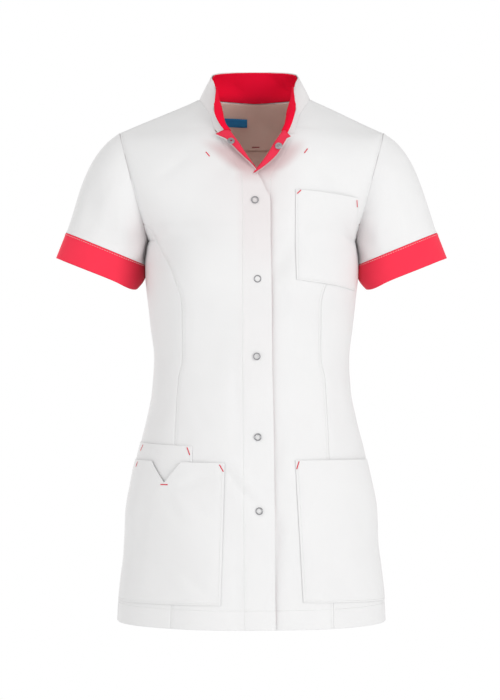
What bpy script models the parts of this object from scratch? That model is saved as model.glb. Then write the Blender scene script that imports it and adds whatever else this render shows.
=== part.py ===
"""A short-sleeved women's medical tunic, filled out as it is worn: front panels with princess seams, a
back, sleeves with cuffs, a stand collar, facings turned out as small lapels, patch pockets and snaps.

Tables and sizes are in millimetres and the meshes in metres. +X is the wearer's left, the front faces
-Y, and the origin lies midway between the points where the shoulder seams meet the collar.
"""

import functools
import math

import bmesh
import bpy
import numpy as np

MM = 0.001

WALL = 1.2          # outer cloth
FACING_WALL = 1.0
CUFF_WALL = 2.0
TINY = 0.01
GAP = 0.3           # between pieces at a seam
LAYER_GAP = 0.5     # between layers that lie on each other
CORNER_GAP = 0.75   # at the corner where the princess seam meets the armhole
RIDGE_GAP = 1.0     # at the shoulder seams, where two walls meet at an angle
LAYER = WALL / 2 + LAYER_GAP + FACING_WALL / 2    # from a panel to the facing inside it

HEM_Z = -718
UNDERARM_Z = -196
SHOULDER_Z = -47
ARMHOLE_MIDDLE = 161        # x of the middle of the armhole
ARMHOLE_LEAN = 20           # how far its ends lie inside and outside that
ARMHOLE_FRONT = 58
ARMHOLE_BACK = 60
NECK_HALF = 76              # from the centre to where a shoulder seam meets the collar
NECK_Y = 5
NECK_SHIFT = 4.5            # the collar sits this far to the wearer's left
PRINCESS_TOP = -173         # where the princess seam meets the armhole
FLAT_Z = -112               # below this the front edges lie flat, above it they turn out
TRIM_TOP = -180             # up to here the armhole trims the body's own curve
LAPEL_TOP = -54
LAPEL_TURN = math.radians(170)
LAPEL_RADIUS = 3.0
LAPEL_DROP = 6.5            # the lapel's corner hangs lower than the notch
LAPEL_CURL = 0.8            # most of a narrow lapel's width that goes into its turn
CURL_COLUMNS = 4
LAPEL_FLAT = (0.27, 0.63, 1.0)
NOTCH_COLUMN = CURL_COLUMNS + 1
UNDERLAP = 2 * LAYER + 0.8   # the left front lies this far in, under the right one and its facing
FACING_SHORT = 0.9          # the white edge stands this far past its facing
DIAGONAL_BIAS = 1.01
FACING_HEM = 6              # and the hem this far below it


class Table:
    """Rows of numbers under named columns; the first column is the key, and between rows each of the
    others is a smooth curve that doesn't overshoot."""

    def __init__(self, names, *rows):
        names = names.split()
        columns = np.array(sorted(rows), float).T
        self.keys = columns[0]
        self.values = dict(zip(names, columns))
        self.slopes = {name: self.slope(values) for name, values in self.values.items()}

    def slope(self, values):
        steps = np.diff(values) / np.diff(self.keys)
        slopes = np.zeros(len(values))
        slopes[0] = steps[0]
        slopes[-1] = steps[-1]
        for i in range(1, len(values) - 1):
            before = steps[i - 1]
            after = steps[i]
            if before * after > 0:
                slopes[i] = 2 * before * after / (before + after)
        return slopes

    def __call__(self, name, at):
        at = min(max(at, self.keys[0]), self.keys[-1])
        i = min(max(int(np.searchsorted(self.keys, at)) - 1, 0), len(self.keys) - 2)
        length = self.keys[i + 1] - self.keys[i]
        t = (at - self.keys[i]) / length
        values = self.values[name]
        slopes = self.slopes[name]
        return (
            (2 * t**3 - 3 * t**2 + 1) * values[i]
            + (t**3 - 2 * t**2 + t) * length * slopes[i]
            + (3 * t**2 - 2 * t**3) * values[i + 1]
            + (t**3 - t**2) * length * slopes[i + 1]
        )


# The body's width at the side seams, below the armholes.
WIDTH = Table(
    "z half",
    (HEM_Z, 184), (-690, 182.5), (-649, 178), (-608, 173), (-566, 171), (-525, 164), (-484, 154.5),
    (-442, 144), (-401, 136), (-359, 133.5), (-318, 137.5), (-276, 140.5), (UNDERARM_Z, 141.5),
)

# How far the front and back stand out at the centre, which way they run (degrees from the X axis) where
# they meet their side seam, armhole or shoulder seam, and how full they are at the centre and the end.
LEVEL = Table(
    "z front back front_turn back_turn centre_pull end_pull",
    (HEM_Z, 127, 120, 90, 90, 1.72, 1.72),
    (-600, 122, 120, 90, 90, 1.72, 1.72),
    (-525, 115, 114, 90, 90, 1.72, 1.72),
    (-442, 106, 98, 90, 90, 1.72, 1.72),
    (-380, 103, 90, 90, 90, 1.72, 1.72),
    (-318, 112, 92, 90, 90, 1.72, 1.72),
    (-250, 124, 99, 90, 90, 1.72, 1.72),
    (UNDERARM_Z, 121, 104, 90, 90, 1.72, 1.72),
    (TRIM_TOP, 119, 105, 74, 75, 1.34, 1.76),
    (-150, 114, 106, 66, 72, 1.3, 1.6),
    (-121, 107, 105, 60, 68, 1.26, 1.5),
    (-90, 98, 102, 54, 62, 1.2, 1.4),
    (-60, 86, 96, 46, 56, 1.1, 1.3),
    (SHOULDER_Z, 80, 92, 42, 52, 1.0, 1.2),
    (-28, 70, 83, 38, 52, 0.95, 1.15),
    (-12, 58, 73, 36, 62, 0.9, 1.2),
    (0, 50, 62, 34, 76, 1.1, 1.45),
)

# The princess seams: distance from the centre line.
PRINCESS = Table(
    "z half",
    (HEM_Z, 108.6), (-600, 106), (-470, 103.5), (-385, 99), (-359, 93.5), (-319, 92), (-279, 89),
    (-248, 97.5), (-212, 118.7), (-190, 131), (PRINCESS_TOP, 141),
)

# The neck seam on the fronts: distance from the middle of the neck.
NECK = Table("z half", (-54, 52), (-41, 56.5), (-28, 60), (-15.6, 66.7), (-6, 72.5), (0, NECK_HALF))

# The closing line, how far each roll line lies outside it, the width of cloth from there to the edge on
# the wearer's right and left, and the width of the facing on the other side of the line.
EDGE = Table(
    "z closing roll beyond_right beyond_left facing",
    (HEM_Z, 9.5, 0, 23, 23, 19),
    (-480, 8, 0, 22, 22, 19),
    (-345, 7, 0, 20.5, 20.5, 19),
    (-200, 7, 0, 18.5, 18.5, 19),
    (-145, 7, 0, 18, 18, 19),
    (-130, 6.5, 0, 12, 12, 19),
    (-118, 6, 0.5, 7.5, 7.5, 19),
    (-109, 5.7, 1.5, 3, 3, 19),
    (-104, 5.3, 4.5, 5.5, 5.5, 19),
    (-98, 5, 9.5, 8.5, 8.5, 18),
    (-84, 4.4, 19.2, 14, 16, 17),
    (-69, 3.2, 28.5, 19.7, 19.5, 15),
    (-60, 2.5, 34.8, 23, 20.5, 13.6),
    (LAPEL_TOP, 2.1, 38.8, 25, 21.5, 12.5),
)

# The collar, from the notch round to the centre back: how far along its seam (0 to 1), the middle of its
# height and its top edge, which rolls outwards at the front.
COLLAR = Table(
    "along mid_x mid_y mid_z top_x top_y top_z",
    (0, 52.0, -77, -34, 56.5, -67, -20.5),
    (0.04, 46.5, -78, -35, 56, -60, -16),
    (0.08, 44.5, -72, -33, 55.2, -52, -10.5),
    (0.14, 46, -63, -26, 54.7, -42, -4),
    (0.22, 49.5, -52, -18, 54.4, -30, 4),
    (0.31, 53.5, -37, -6, 54.5, -14, 13.5),
    (0.40, 60, -19, 6, 56, 1, 22),
    (0.55, 67.5, 8, 18, 60, 18, 32),
    (0.69, 63.5, 38, 20, 58.5, 35, 38),
    (0.80, 45.5, 55.5, 21, 43, 48, 42.5),
    (0.905, 22, 60.5, 22, 21, 54, 43.8),
    (1, 0, 61, 22, 0, 55.5, 44),
)
COLLAR_HEIGHT_STEPS = 3
COLLAR_CLEAR = 1.3          # the collar starts this far above its seam
COLLAR_LAYER = LAYER + 1.0

# Where the cloth stands out (or dips, below 0) on the body: the middle of each soft ridge, its direction
# (degrees from upright), its half length and half width, and its height.
RELIEF = {
    "front": (
        # x, z, lean, half_length, half_width, height
        (-84, -252, 0, 52, 48, 11),
        (84, -252, 0, 52, 48, 11),
        (-12, -540, -32, 62, 26, 4.0),
        (-62, -650, 4, 110, 34, 3.2),
        (48, -640, -6, 100, 28, -4.0),
        (100, -660, -4, 110, 34, 3.2),
        (-128, -640, 3, 110, 34, -3.0),
        (40, -215, -30, 60, 22, -3.0),
        (-52, -345, 8, 60, 26, -3.0),
        (60, -400, -12, 70, 26, -3.0),
    ),
    "back": (
        (0, -150, 0, 90, 42, -4),
        (-62, -640, 4, 110, 26, 4.5),
        (8, -650, -3, 110, 24, -4.5),
        (70, -640, -5, 110, 26, 4.5),
        (-40, -350, 14, 60, 18, 3.0),
        (46, -375, -16, 60, 18, 3.0),
    ),
}

HEM_ROWS = (HEM_Z, -670, -622, -574, -526, -478, -430, -385, -340, -300, -262, -228)
ARMHOLE_ROWS = (UNDERARM_Z, -190.6, -182, PRINCESS_TOP, -161, -144, -127)
LAPEL_ROWS = (FLAT_Z, -104, -95, -84, -73, -62, LAPEL_TOP)
SHOULDER_ROWS = (SHOULDER_Z, -36, -24, -12, -4)
COLLAR_ROWS = (-47, -41.5, -36, -30, -24, -18, -12, -8, -4)
FRONT_ROWS = HEM_ROWS + ARMHOLE_ROWS + LAPEL_ROWS + SHOULDER_ROWS
SIDE_ROWS = HEM_ROWS + ARMHOLE_ROWS[:3] + (PRINCESS_TOP - 3.5,)
BACK_ROWS = HEM_ROWS + ARMHOLE_ROWS + (-110, -94, -78, -64, -54) + SHOULDER_ROWS + (0,)
PANEL_COLUMNS = 7
FACING_COLUMNS = 1
SIDE_COLUMNS = 3
BACK_COLUMNS = 14

SLEEVE_COLUMNS = 20
SLEEVE_STEPS = 5
CUFF_STEPS = 2
SLEEVE_DEPTH_SHIFT = -3
SLEEVE_CLEAR = 1.2          # a sleeve starts this far outside its armhole
UNDERARM_CLEAR = 1.7        # and this much further out at the underarm, where it lies beside the body
# How a sleeve runs out of its armhole and on into its cuff, sideways and down: at the underarm and at the
# shoulder, and how far it bulges to the front and back as it leaves.
SLEEVE_LEAVE = ((14, -36), (152, -92))
SLEEVE_ARRIVE = ((2, -38), (48, -112))
SLEEVE_BULGE = 34
# Two sections of each sleeve: its inner and outer points as seen from the front, and its half depth.
SECTION = {
    "cuff_top": (148.5, -229, 254.7, -184.5, 49),
    "hem": (158.7, -262.5, 268.4, -219.4, 48),
}
CUFF_CLEAR = 0.5                # the cuff starts this far past its sleeve
CUFF_INNER = (148.0, -244)      # the inside of the cuff bends round the body's side here

POCKET_LIFT = WALL / 2 + FACING_WALL / 2 + 1.1
POCKET_STEPS = (8, 6)
AT_SIDE = 0.97              # a pocket that reaches the side seam runs this part of the way out
TO_SIDE = None
# Each pocket: its side, its corners as distances from the centre line and heights (bottom inner, bottom
# outer, top outer, top inner), and how far its top gapes.
POCKETS = {
    "chest_pocket": (1, ((57, -252), (136, -265), (144.5, -141), (58.7, -131)), 2.5),
    "hip_pocket_left": (1, ((68.8, -681.7), (TO_SIDE, -689), (TO_SIDE, -496), (58, -493)), 4.0),
    "hip_pocket_right_small": (-1, ((80, -600), (TO_SIDE, -600), (TO_SIDE, -472), (78.4, -474.5)), 1.5),
    "hip_pocket_right": (-1, ((40.5, -685), (TO_SIDE, -688), (TO_SIDE, -496), (35, -496.6)), 3.0),
}
# The right hip pocket rises over the small one, over these parts of its width and height, and a little
# more towards its top.
OVER_SMALL = FACING_WALL + GAP + 0.7
OVER_ACROSS = (0.1, 0.32)
OVER_UP = (0.28, 0.42)
OVER_TOP = 1.2
NOTCH_COLUMNS = 13
NOTCH_CENTRE = 6 / NOTCH_COLUMNS    # the V in the right hip pocket's top edge, as parts of its width
NOTCH_HALF = 2 / NOTCH_COLUMNS
NOTCH_DEPTH = 28
SNAP_RADIUS = 4.3
SNAP_WIRE = 0.75
SNAP_CLEAR = 0.45           # a snap lies this far off the front's cloth
LAPEL_SNAP_CLEAR = 0.4
SNAP_PLACES = ((4.6, -146), (7.8, -251), (7.0, -354), (8.3, -462), (10.2, -560))
LAPEL_SNAPS = ((-1, "lapel_snap_socket", -70), (1, "lapel_snap_stud", -76))    # side, name, height
LAPEL_SNAP_COLUMN = CURL_COLUMNS + 1
LAPEL_SNAP_REACH = 4        # its slope is taken from this far above and below it
LABEL = (-43.5, -11.5, -29, -18)    # x from, x to, z from, z to
LABEL_WALL = 0.6
LABEL_CLEAR = 1.0
LABEL_STEPS = (4, 2)
BACK_FACING_LOW = -64           # the back neck facing reaches down to here

COLOURS = {
    # name: red, green, blue, roughness, metallic
    "white_cloth": (0.82, 0.82, 0.83, 0.85, 0.0),
    "red_cloth": (0.78, 0.035, 0.07, 0.8, 0.0),
    "snap_metal": (0.72, 0.72, 0.74, 0.3, 1.0),
    "label_cloth": (0.03, 0.30, 0.62, 0.7, 0.0),
}


def ease(low, high, value):
    """0 at low and 1 at high, with a soft start and end."""
    t = min(max((value - low) / (high - low), 0.0), 1.0)
    return t * t * (3 - 2 * t)


def unit(vector):
    return vector / max(np.linalg.norm(vector), 1e-9)


def between(low, high, part):
    """The pair of numbers this part of the way from one pair to another."""
    return low[0] + (high[0] - low[0]) * part, low[1] + (high[1] - low[1]) * part


# The body's form

@functools.lru_cache(maxsize=None)
def seam_point(face, z):
    """Where the front or back ends at this height: how far sideways, and how far out from the centre."""
    sign = -1 if face == "front" else 1
    if z <= UNDERARM_Z:
        return WIDTH("half", z), 0.0
    if z < SHOULDER_Z:
        middle = (UNDERARM_Z + SHOULDER_Z) / 2
        cosine = (middle - z) / ((SHOULDER_Z - UNDERARM_Z) / 2)
        depth = ARMHOLE_FRONT if face == "front" else ARMHOLE_BACK
        sine = math.sqrt(max(0.0, 1 - cosine**2))
        return ARMHOLE_MIDDLE - ARMHOLE_LEAN * cosine, depth * sine
    up = (z - SHOULDER_Z) / -SHOULDER_Z
    shoulder = ARMHOLE_MIDDLE + ARMHOLE_LEAN
    return shoulder + (NECK_HALF - shoulder) * up, sign * NECK_Y * up


def trimmed(face, name, z):
    """A number of the level curve, which at the foot of the armhole changes as fast as its edge moves."""
    if not UNDERARM_Z < z < TRIM_TOP:
        return LEVEL(name, z)
    low = LEVEL(name, UNDERARM_Z)
    high = LEVEL(name, TRIM_TOP)
    return low + (high - low) * seam_point(face, z)[1] / seam_point(face, TRIM_TOP)[1]


@functools.lru_cache(maxsize=None)
def level_curve(face, z):
    """The numbers of the curve that one half of the front or back follows at this height."""
    end_x, end_out = seam_point(face, z)
    depth = LEVEL(face, z)
    turn = math.radians(trimmed(face, face + "_turn", z))
    centre_pull = trimmed(face, "centre_pull", z) * end_x
    end_pull = trimmed(face, "end_pull", z) * (depth - end_out) / math.sin(turn)
    return end_x, end_out, depth, centre_pull, end_pull * math.cos(turn), -end_pull * math.sin(turn)


def smooth_point(face, s, z):
    """A point of the body's smooth form; s runs from 0 at the centre to 1 at the wearer's left seam, and
    to -1 at the right one."""
    end_x, end_out, depth, centre_pull, pull_x, pull_out = level_curve(face, z)
    t = abs(s)
    h01 = 3 * t**2 - 2 * t**3
    h10 = t**3 - 2 * t**2 + t
    h11 = t**3 - t**2
    x = h10 * centre_pull + h01 * end_x + h11 * pull_x
    out = (1 - h01) * depth + h01 * end_out + h11 * pull_out
    sign = -1 if face == "front" else 1
    return np.array((math.copysign(x, s), sign * out, z))


def s_at(face, x, z):
    """The s of the point that lies this far sideways."""
    low = -1.0
    high = 1.0
    for _ in range(34):
        middle = (low + high) / 2
        if smooth_point(face, middle, z)[0] < x:
            low = middle
        else:
            high = middle
    return (low + high) / 2


def relief(face, point):
    """How far the cloth stands out here, from the soft ridges that reach it."""
    height = 0.0
    for x, z, lean, half_length, half_width, peak in RELIEF[face]:
        angle = math.radians(lean)
        across = (point[0] - x) * math.cos(angle) - (point[2] - z) * math.sin(angle)
        along = (point[0] - x) * math.sin(angle) + (point[2] - z) * math.cos(angle)
        height += peak * math.exp(-((across / half_width) ** 2) - (along / half_length) ** 2)
    return height


def lean(point):
    """The neck's small shift to the wearer's left, which fades out down the chest and the shoulders."""
    amount = ease(-130, -40, point[2]) * (1 - ease(90, 170, abs(point[0])))
    return point + np.array((NECK_SHIFT * amount, 0, 0))


def outward(face, s, z):
    step = 0.004 if abs(s) < 0.99 else -0.004
    across = smooth_point(face, s + math.copysign(step, s), z) - smooth_point(face, s, z)
    across = across * math.copysign(1, s) * math.copysign(1, step)
    low = max(z - 2.0, HEM_Z)
    high = min(z + 2.0, 0)
    if z < UNDERARM_Z:
        high = min(high, UNDERARM_Z)
    up = smooth_point(face, s, high) - smooth_point(face, s, low)
    normal = unit(np.cross(across, up))
    if normal[1] * (-1 if face == "front" else 1) < 0 and abs(s) < 0.9:
        normal = -normal
    if face == "back":
        normal = normal if np.dot(normal, smooth_point(face, s, z) * (1, 1, 0)) > 0 else -normal
    return normal


def body(face, s, z, out=0.0):
    """A point of the body, moved out by some millimetres."""
    point = smooth_point(face, s, z)
    return lean(point + outward(face, s, z) * (relief(face, point) + out))


def s_short_of_seam(face, side, z, gap):
    """The s that lies this far short of the side seam, armhole or shoulder seam."""
    step = 0.01
    length = np.linalg.norm(smooth_point(face, 1, z) - smooth_point(face, 1 - step, z))
    return side * (1 - step * gap / length)


def underlap(side, x, z):
    """How far the left front lies further in where the right one laps over it."""
    if side < 0:
        return 0.0
    return -UNDERLAP * (1 - ease(22, 54, x)) * (1 - ease(-104, -60, z))


# Grids of points, and the solids made from them

def grid_normals(grid, closed=False):
    """Outward normals of a grid of points, from the points around each one."""
    rows = len(grid)
    columns = len(grid[0])
    normals = np.zeros((rows, columns, 3))
    for i in range(rows):
        for j in range(columns):
            before = (j - 1) % columns if closed else max(j - 1, 0)
            after = (j + 1) % columns if closed else min(j + 1, columns - 1)
            across = grid[i][after] - grid[i][before]
            up = grid[min(i + 1, rows - 1)][j] - grid[max(i - 1, 0)][j]
            normals[i][j] = unit(np.cross(across, up))
    return normals


def moved(grid, distance, closed=False):
    """The grid moved out along its normals."""
    return np.array(grid) + grid_normals(grid, closed) * distance


def material(name):
    found = bpy.data.materials.get(name)
    if found:
        return found
    red, green, blue, roughness, metallic = COLOURS[name]
    made = bpy.data.materials.new(name)
    made.use_nodes = True
    shader = made.node_tree.nodes["Principled BSDF"]
    shader.inputs["Base Color"].default_value = (red, green, blue, 1)
    shader.inputs["Roughness"].default_value = roughness
    shader.inputs["Metallic"].default_value = metallic
    made.diffuse_color = (red, green, blue, 1)
    return made


def add_object(name, mesh, colour):
    piece = bpy.data.objects.new(name, mesh)
    bpy.data.collections["medical_tunic"].objects.link(piece)
    own = material(colour).copy()
    own.name = name + "_material"
    mesh.materials.append(own)
    mesh.shade_smooth()
    return piece


def cloth(name, blocks, wall, colour, closed=False):
    """A wall of cloth through one or more grids of points that share edges, one row above another. Each
    face is split along its shorter diagonal, so that layers that lie on each other are split alike."""
    shape = bmesh.new()
    for grid in blocks:
        verts = [[shape.verts.new(np.array(point) * MM) for point in row] for row in grid]
        columns = len(grid[0])
        last = columns if closed else columns - 1
        for i in range(len(grid) - 1):
            for j in range(last):
                k = (j + 1) % columns
                a, b, c, d = verts[i][j], verts[i][k], verts[i + 1][k], verts[i + 1][j]
                if (a.co - c.co).length <= (b.co - d.co).length * DIAGONAL_BIAS:
                    shape.faces.new((a, b, c))
                    shape.faces.new((a, c, d))
                else:
                    shape.faces.new((a, b, d))
                    shape.faces.new((b, c, d))
    bmesh.ops.remove_doubles(shape, verts=shape.verts, dist=TINY * MM)
    mesh = bpy.data.meshes.new(name)
    shape.to_mesh(mesh)
    shape.free()
    piece = add_object(name, mesh, colour)
    solid = piece.modifiers.new("wall", "SOLIDIFY")
    solid.thickness = wall * MM
    solid.offset = 0
    return piece


# Fronts, facings and back. The grids run from the wearer's right to the left, so that they face out.

def lapel_widths(side, z, trim):
    """Distances beyond the roll line of the columns between it and the edge."""
    total = EDGE("beyond_right" if side < 0 else "beyond_left", z) - trim
    curl = min(total * LAPEL_CURL, LAPEL_RADIUS * LAPEL_TURN)
    widths = [curl * (k + 1) / CURL_COLUMNS for k in range(CURL_COLUMNS)]
    return widths + [curl + (total - curl) * part for part in LAPEL_FLAT]


def lapel_point(side, z, width):
    """A point of the front beyond its roll line; above the V it turns out and back."""
    line_x = EDGE("closing", z) + side * EDGE("roll", z)
    if z <= FLAT_Z:
        x = line_x - side * width
        return body("front", s_at("front", x, z), z, underlap(side, x, z))
    s = s_at("front", line_x, z)
    start = body("front", s, z, underlap(side, line_x, z))
    ahead = body("front", s - side * 0.01, z, underlap(side, line_x, z))
    toward = unit(ahead - start)
    out = outward("front", s, z)
    turn = min(width / LAPEL_RADIUS, LAPEL_TURN)
    rest = width - LAPEL_RADIUS * turn
    along = LAPEL_RADIUS * math.sin(turn) + rest * math.cos(turn)
    away = LAPEL_RADIUS * (1 - math.cos(turn)) + rest * math.sin(turn)
    return start + toward * along + out * away


def lapel_columns(side, z, trim=0.0):
    widths = lapel_widths(side, z, trim)
    points = [lapel_point(side, z, width) for width in widths]
    if z == LAPEL_TOP:
        flat = widths[NOTCH_COLUMN - 1:]
        for k, width in enumerate(flat):
            drop = LAPEL_DROP * (width - flat[0]) / (flat[-1] - flat[0])
            points[NOTCH_COLUMN - 1 + k][2] -= drop
    return points


def panel_points(side, z, s_from, s_to, columns):
    points = []
    for k in range(columns + 1):
        s = s_from + (s_to - s_from) * k / columns
        x = smooth_point("front", s, z)[0]
        points.append(body("front", s, z, underlap(side, x, z)))
    return points


def facing_line(z):
    """How far outside the closing line the facing ends."""
    return EDGE("roll", z) + EDGE("facing", z)


def facing_columns(side, z):
    closing = EDGE("closing", z)
    s_from = s_at("front", closing + side * facing_line(z), z)
    s_to = s_at("front", closing + side * EDGE("roll", z), z)
    return panel_points(side, z, s_from, s_to, FACING_COLUMNS)


def princess_half(z):
    """The princess seam, which runs straight from the last row below the armhole's corner to it."""
    last = SIDE_ROWS[-2]
    if z <= last:
        return PRINCESS("half", z)
    corner = seam_point("front", PRINCESS_TOP)[0]
    return PRINCESS("half", last) + (corner - PRINCESS("half", last)) * (z - last) / (PRINCESS_TOP - last)


def main_columns(side, z):
    """The front from its princess seam, armhole or shoulder seam to the facing line or the neck seam."""
    if z < PRINCESS_TOP:
        s_from = s_at("front", side * (princess_half(z) - GAP), z)
    elif z < SHOULDER_Z:
        s_from = s_short_of_seam("front", side, z, GAP)
    else:
        s_from = s_short_of_seam("front", side, z, RIDGE_GAP)
    if z <= LAPEL_TOP:
        x = EDGE("closing", z) + side * facing_line(z)
    else:
        x = side * NECK("half", z)
    return panel_points(side, z, s_from, s_at("front", x, z), PANEL_COLUMNS)


def facing_outwards(rows, side):
    """The rows from the wearer's right to the left."""
    return [row if side < 0 else row[::-1] for row in rows]


def front_blocks(side):
    main = [main_columns(side, z) for z in FRONT_ROWS]
    low_rows = [z for z in FRONT_ROWS if z <= LAPEL_TOP]
    inner = [facing_columns(side, z) + lapel_columns(side, z) for z in low_rows]
    return [facing_outwards(main, side), facing_outwards(inner, side)]


def facing_grid(side):
    """The facing's rows, moved in from the front's own points."""
    low_rows = [z for z in FRONT_ROWS if z <= LAPEL_TOP]
    low_rows[0] += FACING_HEM
    rows = [facing_columns(side, z) + lapel_columns(side, z, FACING_SHORT) for z in low_rows]
    return moved(facing_outwards(rows, side), -LAYER)


def side_grid(side):
    rows = []
    for z in SIDE_ROWS:
        s_from = s_short_of_seam("front", side, z, GAP / 2)
        gap = GAP if z <= SIDE_ROWS[-2] else CORNER_GAP
        s_to = s_at("front", side * (princess_half(z) + gap), z)
        rows.append(panel_points(side, z, s_from, s_to, SIDE_COLUMNS))
    return facing_outwards(rows, side)


def back_row(z):
    limit = s_short_of_seam("back", 1, z, RIDGE_GAP if z >= SHOULDER_Z else GAP)
    return [body("back", limit * (1 - 2 * k / BACK_COLUMNS), z) for k in range(BACK_COLUMNS + 1)]


def back_grid():
    return [back_row(z) for z in BACK_ROWS]


def back_facing_grid():
    """The upper rows of the back, without the outermost columns, moved in."""
    rows = [back_row(z)[1:-1] for z in BACK_ROWS if z >= BACK_FACING_LOW]
    return moved(rows, -LAYER)


# Collar

def collar_seam(side):
    """The neck seam from the notch on the lapel, round the roll and up to the centre back."""
    inner = lapel_columns(side, LAPEL_TOP)[:NOTCH_COLUMN][::-1]
    inner += facing_columns(side, LAPEL_TOP)[::-1]
    inner += [body("front", s_at("front", side * NECK("half", z), z), z) for z in COLLAR_ROWS]
    corner = seam_point("back", 0)[0]
    inner.append(lean(np.array((side * corner, NECK_Y, 0.0))))
    for part in (0.8, 0.6, 0.4, 0.2, 0.0):
        inner.append(body("back", side * part, 0))
    return inner


def collar_point(side, level, along):
    return lean(np.array([
        side * COLLAR(level + "_x", along),
        COLLAR(level + "_y", along),
        COLLAR(level + "_z", along),
    ]))


def collar_grid():
    """From the wearer's right notch round the back to the left one, each column from seam to top."""
    halves = {}
    for side in (-1, 1):
        seam = collar_seam(side)
        lengths = [0.0]
        for before, after in zip(seam, seam[1:]):
            lengths.append(lengths[-1] + np.linalg.norm(after - before))
        columns = []
        for point, length in zip(seam, lengths):
            along = length / lengths[-1]
            mid = collar_point(side, "mid", along)
            top = collar_point(side, "top", along)
            base = point + unit(mid - point) * COLLAR_CLEAR
            columns.append([
                base * (1 - v) * (1 - 2 * v) + mid * 4 * v * (1 - v) + top * v * (2 * v - 1)
                for v in (k / COLLAR_HEIGHT_STEPS for k in range(COLLAR_HEIGHT_STEPS + 1))
            ])
        halves[side] = columns
    columns = halves[1][:-1] + halves[-1][::-1]
    return [[column[k] for column in columns] for k in range(COLLAR_HEIGHT_STEPS + 1)]


# Sleeves

def armhole_point(side, angle):
    """angle runs from 0 at the underarm over the front to pi at the shoulder and back behind."""
    middle = (UNDERARM_Z + SHOULDER_Z) / 2
    z = middle - (SHOULDER_Z - UNDERARM_Z) / 2 * math.cos(angle)
    z = min(max(z, UNDERARM_Z + TINY), SHOULDER_Z - TINY)
    face = "front" if math.sin(angle) > 0 else "back"
    return body(face, side, z)


def section_point(side, name, angle):
    inner_x, inner_z, outer_x, outer_z, half_depth = SECTION[name]
    part = (1 - math.cos(angle)) / 2
    x = inner_x + (outer_x - inner_x) * part
    z = inner_z + (outer_z - inner_z) * part
    return np.array((side * x, SLEEVE_DEPTH_SHIFT - half_depth * math.sin(angle), z))


def sleeve_angles():
    return [2 * math.pi * k / SLEEVE_COLUMNS for k in range(SLEEVE_COLUMNS)]


def sleeve_grid(side):
    rows = [[] for _ in range(SLEEVE_STEPS + 1)]
    for angle in sleeve_angles():
        up = (1 - math.cos(angle)) / 2
        leave_x, leave_z = between(*SLEEVE_LEAVE, up)
        arrive_x, arrive_z = between(*SLEEVE_ARRIVE, up)
        leave = np.array((side * leave_x, -SLEEVE_BULGE * math.sin(angle), leave_z))
        arrive = np.array((side * arrive_x, 0.0, arrive_z))
        start = armhole_point(side, angle) + unit(leave) * SLEEVE_CLEAR
        start = start + np.array((side * UNDERARM_CLEAR * (1 - up) ** 2, 0, 0))
        end = section_point(side, "cuff_top", angle)
        for k, row in enumerate(rows):
            t = k / SLEEVE_STEPS
            h01 = 3 * t**2 - 2 * t**3
            h10 = t**3 - 2 * t**2 + t
            h11 = t**3 - t**2
            row.append(start * (1 - h01) + end * h01 + leave * h10 + arrive * h11)
    return facing_outwards(rows[::-1], -side)


def cuff_grid(side):
    rows = [[] for _ in range(CUFF_STEPS + 1)]
    for angle in sleeve_angles():
        start = section_point(side, "cuff_top", angle)
        end = section_point(side, "hem", angle)
        start = start + unit(end - start) * CUFF_CLEAR
        inner = np.array((side * CUFF_INNER[0], 0, CUFF_INNER[1]))
        pull = inner - (section_point(side, "cuff_top", 0) + section_point(side, "hem", 0)) / 2
        pull[1] = 0
        near = max(0.0, math.cos(angle)) ** 2
        for k, row in enumerate(rows):
            t = k / CUFF_STEPS
            row.append(start * (1 - t) + end * t + pull * near * 4 * t * (1 - t))
    return facing_outwards(rows[::-1], -side)


# Pockets, label and snaps

def pocket_edge(low, high, z):
    """The s of a side of a pocket at this height, on the wearer's left."""
    if low[0] is TO_SIDE:
        return AT_SIDE
    part = (z - low[1]) / (high[1] - low[1])
    return s_at("front", low[0] + (high[0] - low[0]) * part, z)


def pocket(name, steps=POCKET_STEPS, lift=None, notch=None):
    """A patch over the front. lift gives how much further out it lies, as a function of the way out (u)
    and up (v), and notch how far its top edge is cut down at u."""
    side, (bottom_in, bottom_out, top_out, top_in), gape = POCKETS[name]
    columns, rows = steps
    grid = []
    for i in range(rows + 1):
        v = i / rows
        row = []
        for j in range(columns + 1):
            u = j / columns
            z_low = bottom_in[1] + (bottom_out[1] - bottom_in[1]) * u
            z_high = top_in[1] + (top_out[1] - top_in[1]) * u
            if notch:
                z_high -= notch(u)
            z = z_low + (z_high - z_low) * v
            inner = pocket_edge(bottom_in, top_in, z)
            outer = pocket_edge(bottom_out, top_out, z)
            s = side * (inner + (outer - inner) * u)
            out = POCKET_LIFT + gape * v**3 * math.sin(math.pi * u)
            if lift:
                out += lift(u, v)
            row.append(body("front", s, z, out))
        grid.append(row)
    cloth(name, [facing_outwards(grid, -side)], FACING_WALL, "white_cloth")


def ring(name, centre, normal):
    bpy.ops.mesh.primitive_torus_add(
        major_segments=12, minor_segments=4, major_radius=SNAP_RADIUS * MM, minor_radius=SNAP_WIRE * MM
    )
    made = bpy.context.object
    mesh = made.data
    bpy.data.objects.remove(made)
    mesh.name = name
    piece = add_object(name, mesh, "snap_metal")
    piece.rotation_mode = "QUATERNION"
    up = np.array((0.0, 0.0, 1.0))
    axis = np.cross(up, normal)
    angle = math.acos(max(-1.0, min(1.0, float(np.dot(up, normal)))))
    axis = unit(axis)
    half = math.sin(angle / 2)
    piece.rotation_quaternion = (math.cos(angle / 2), axis[0] * half, axis[1] * half, axis[2] * half)
    piece.location = centre * MM
    return piece


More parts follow.
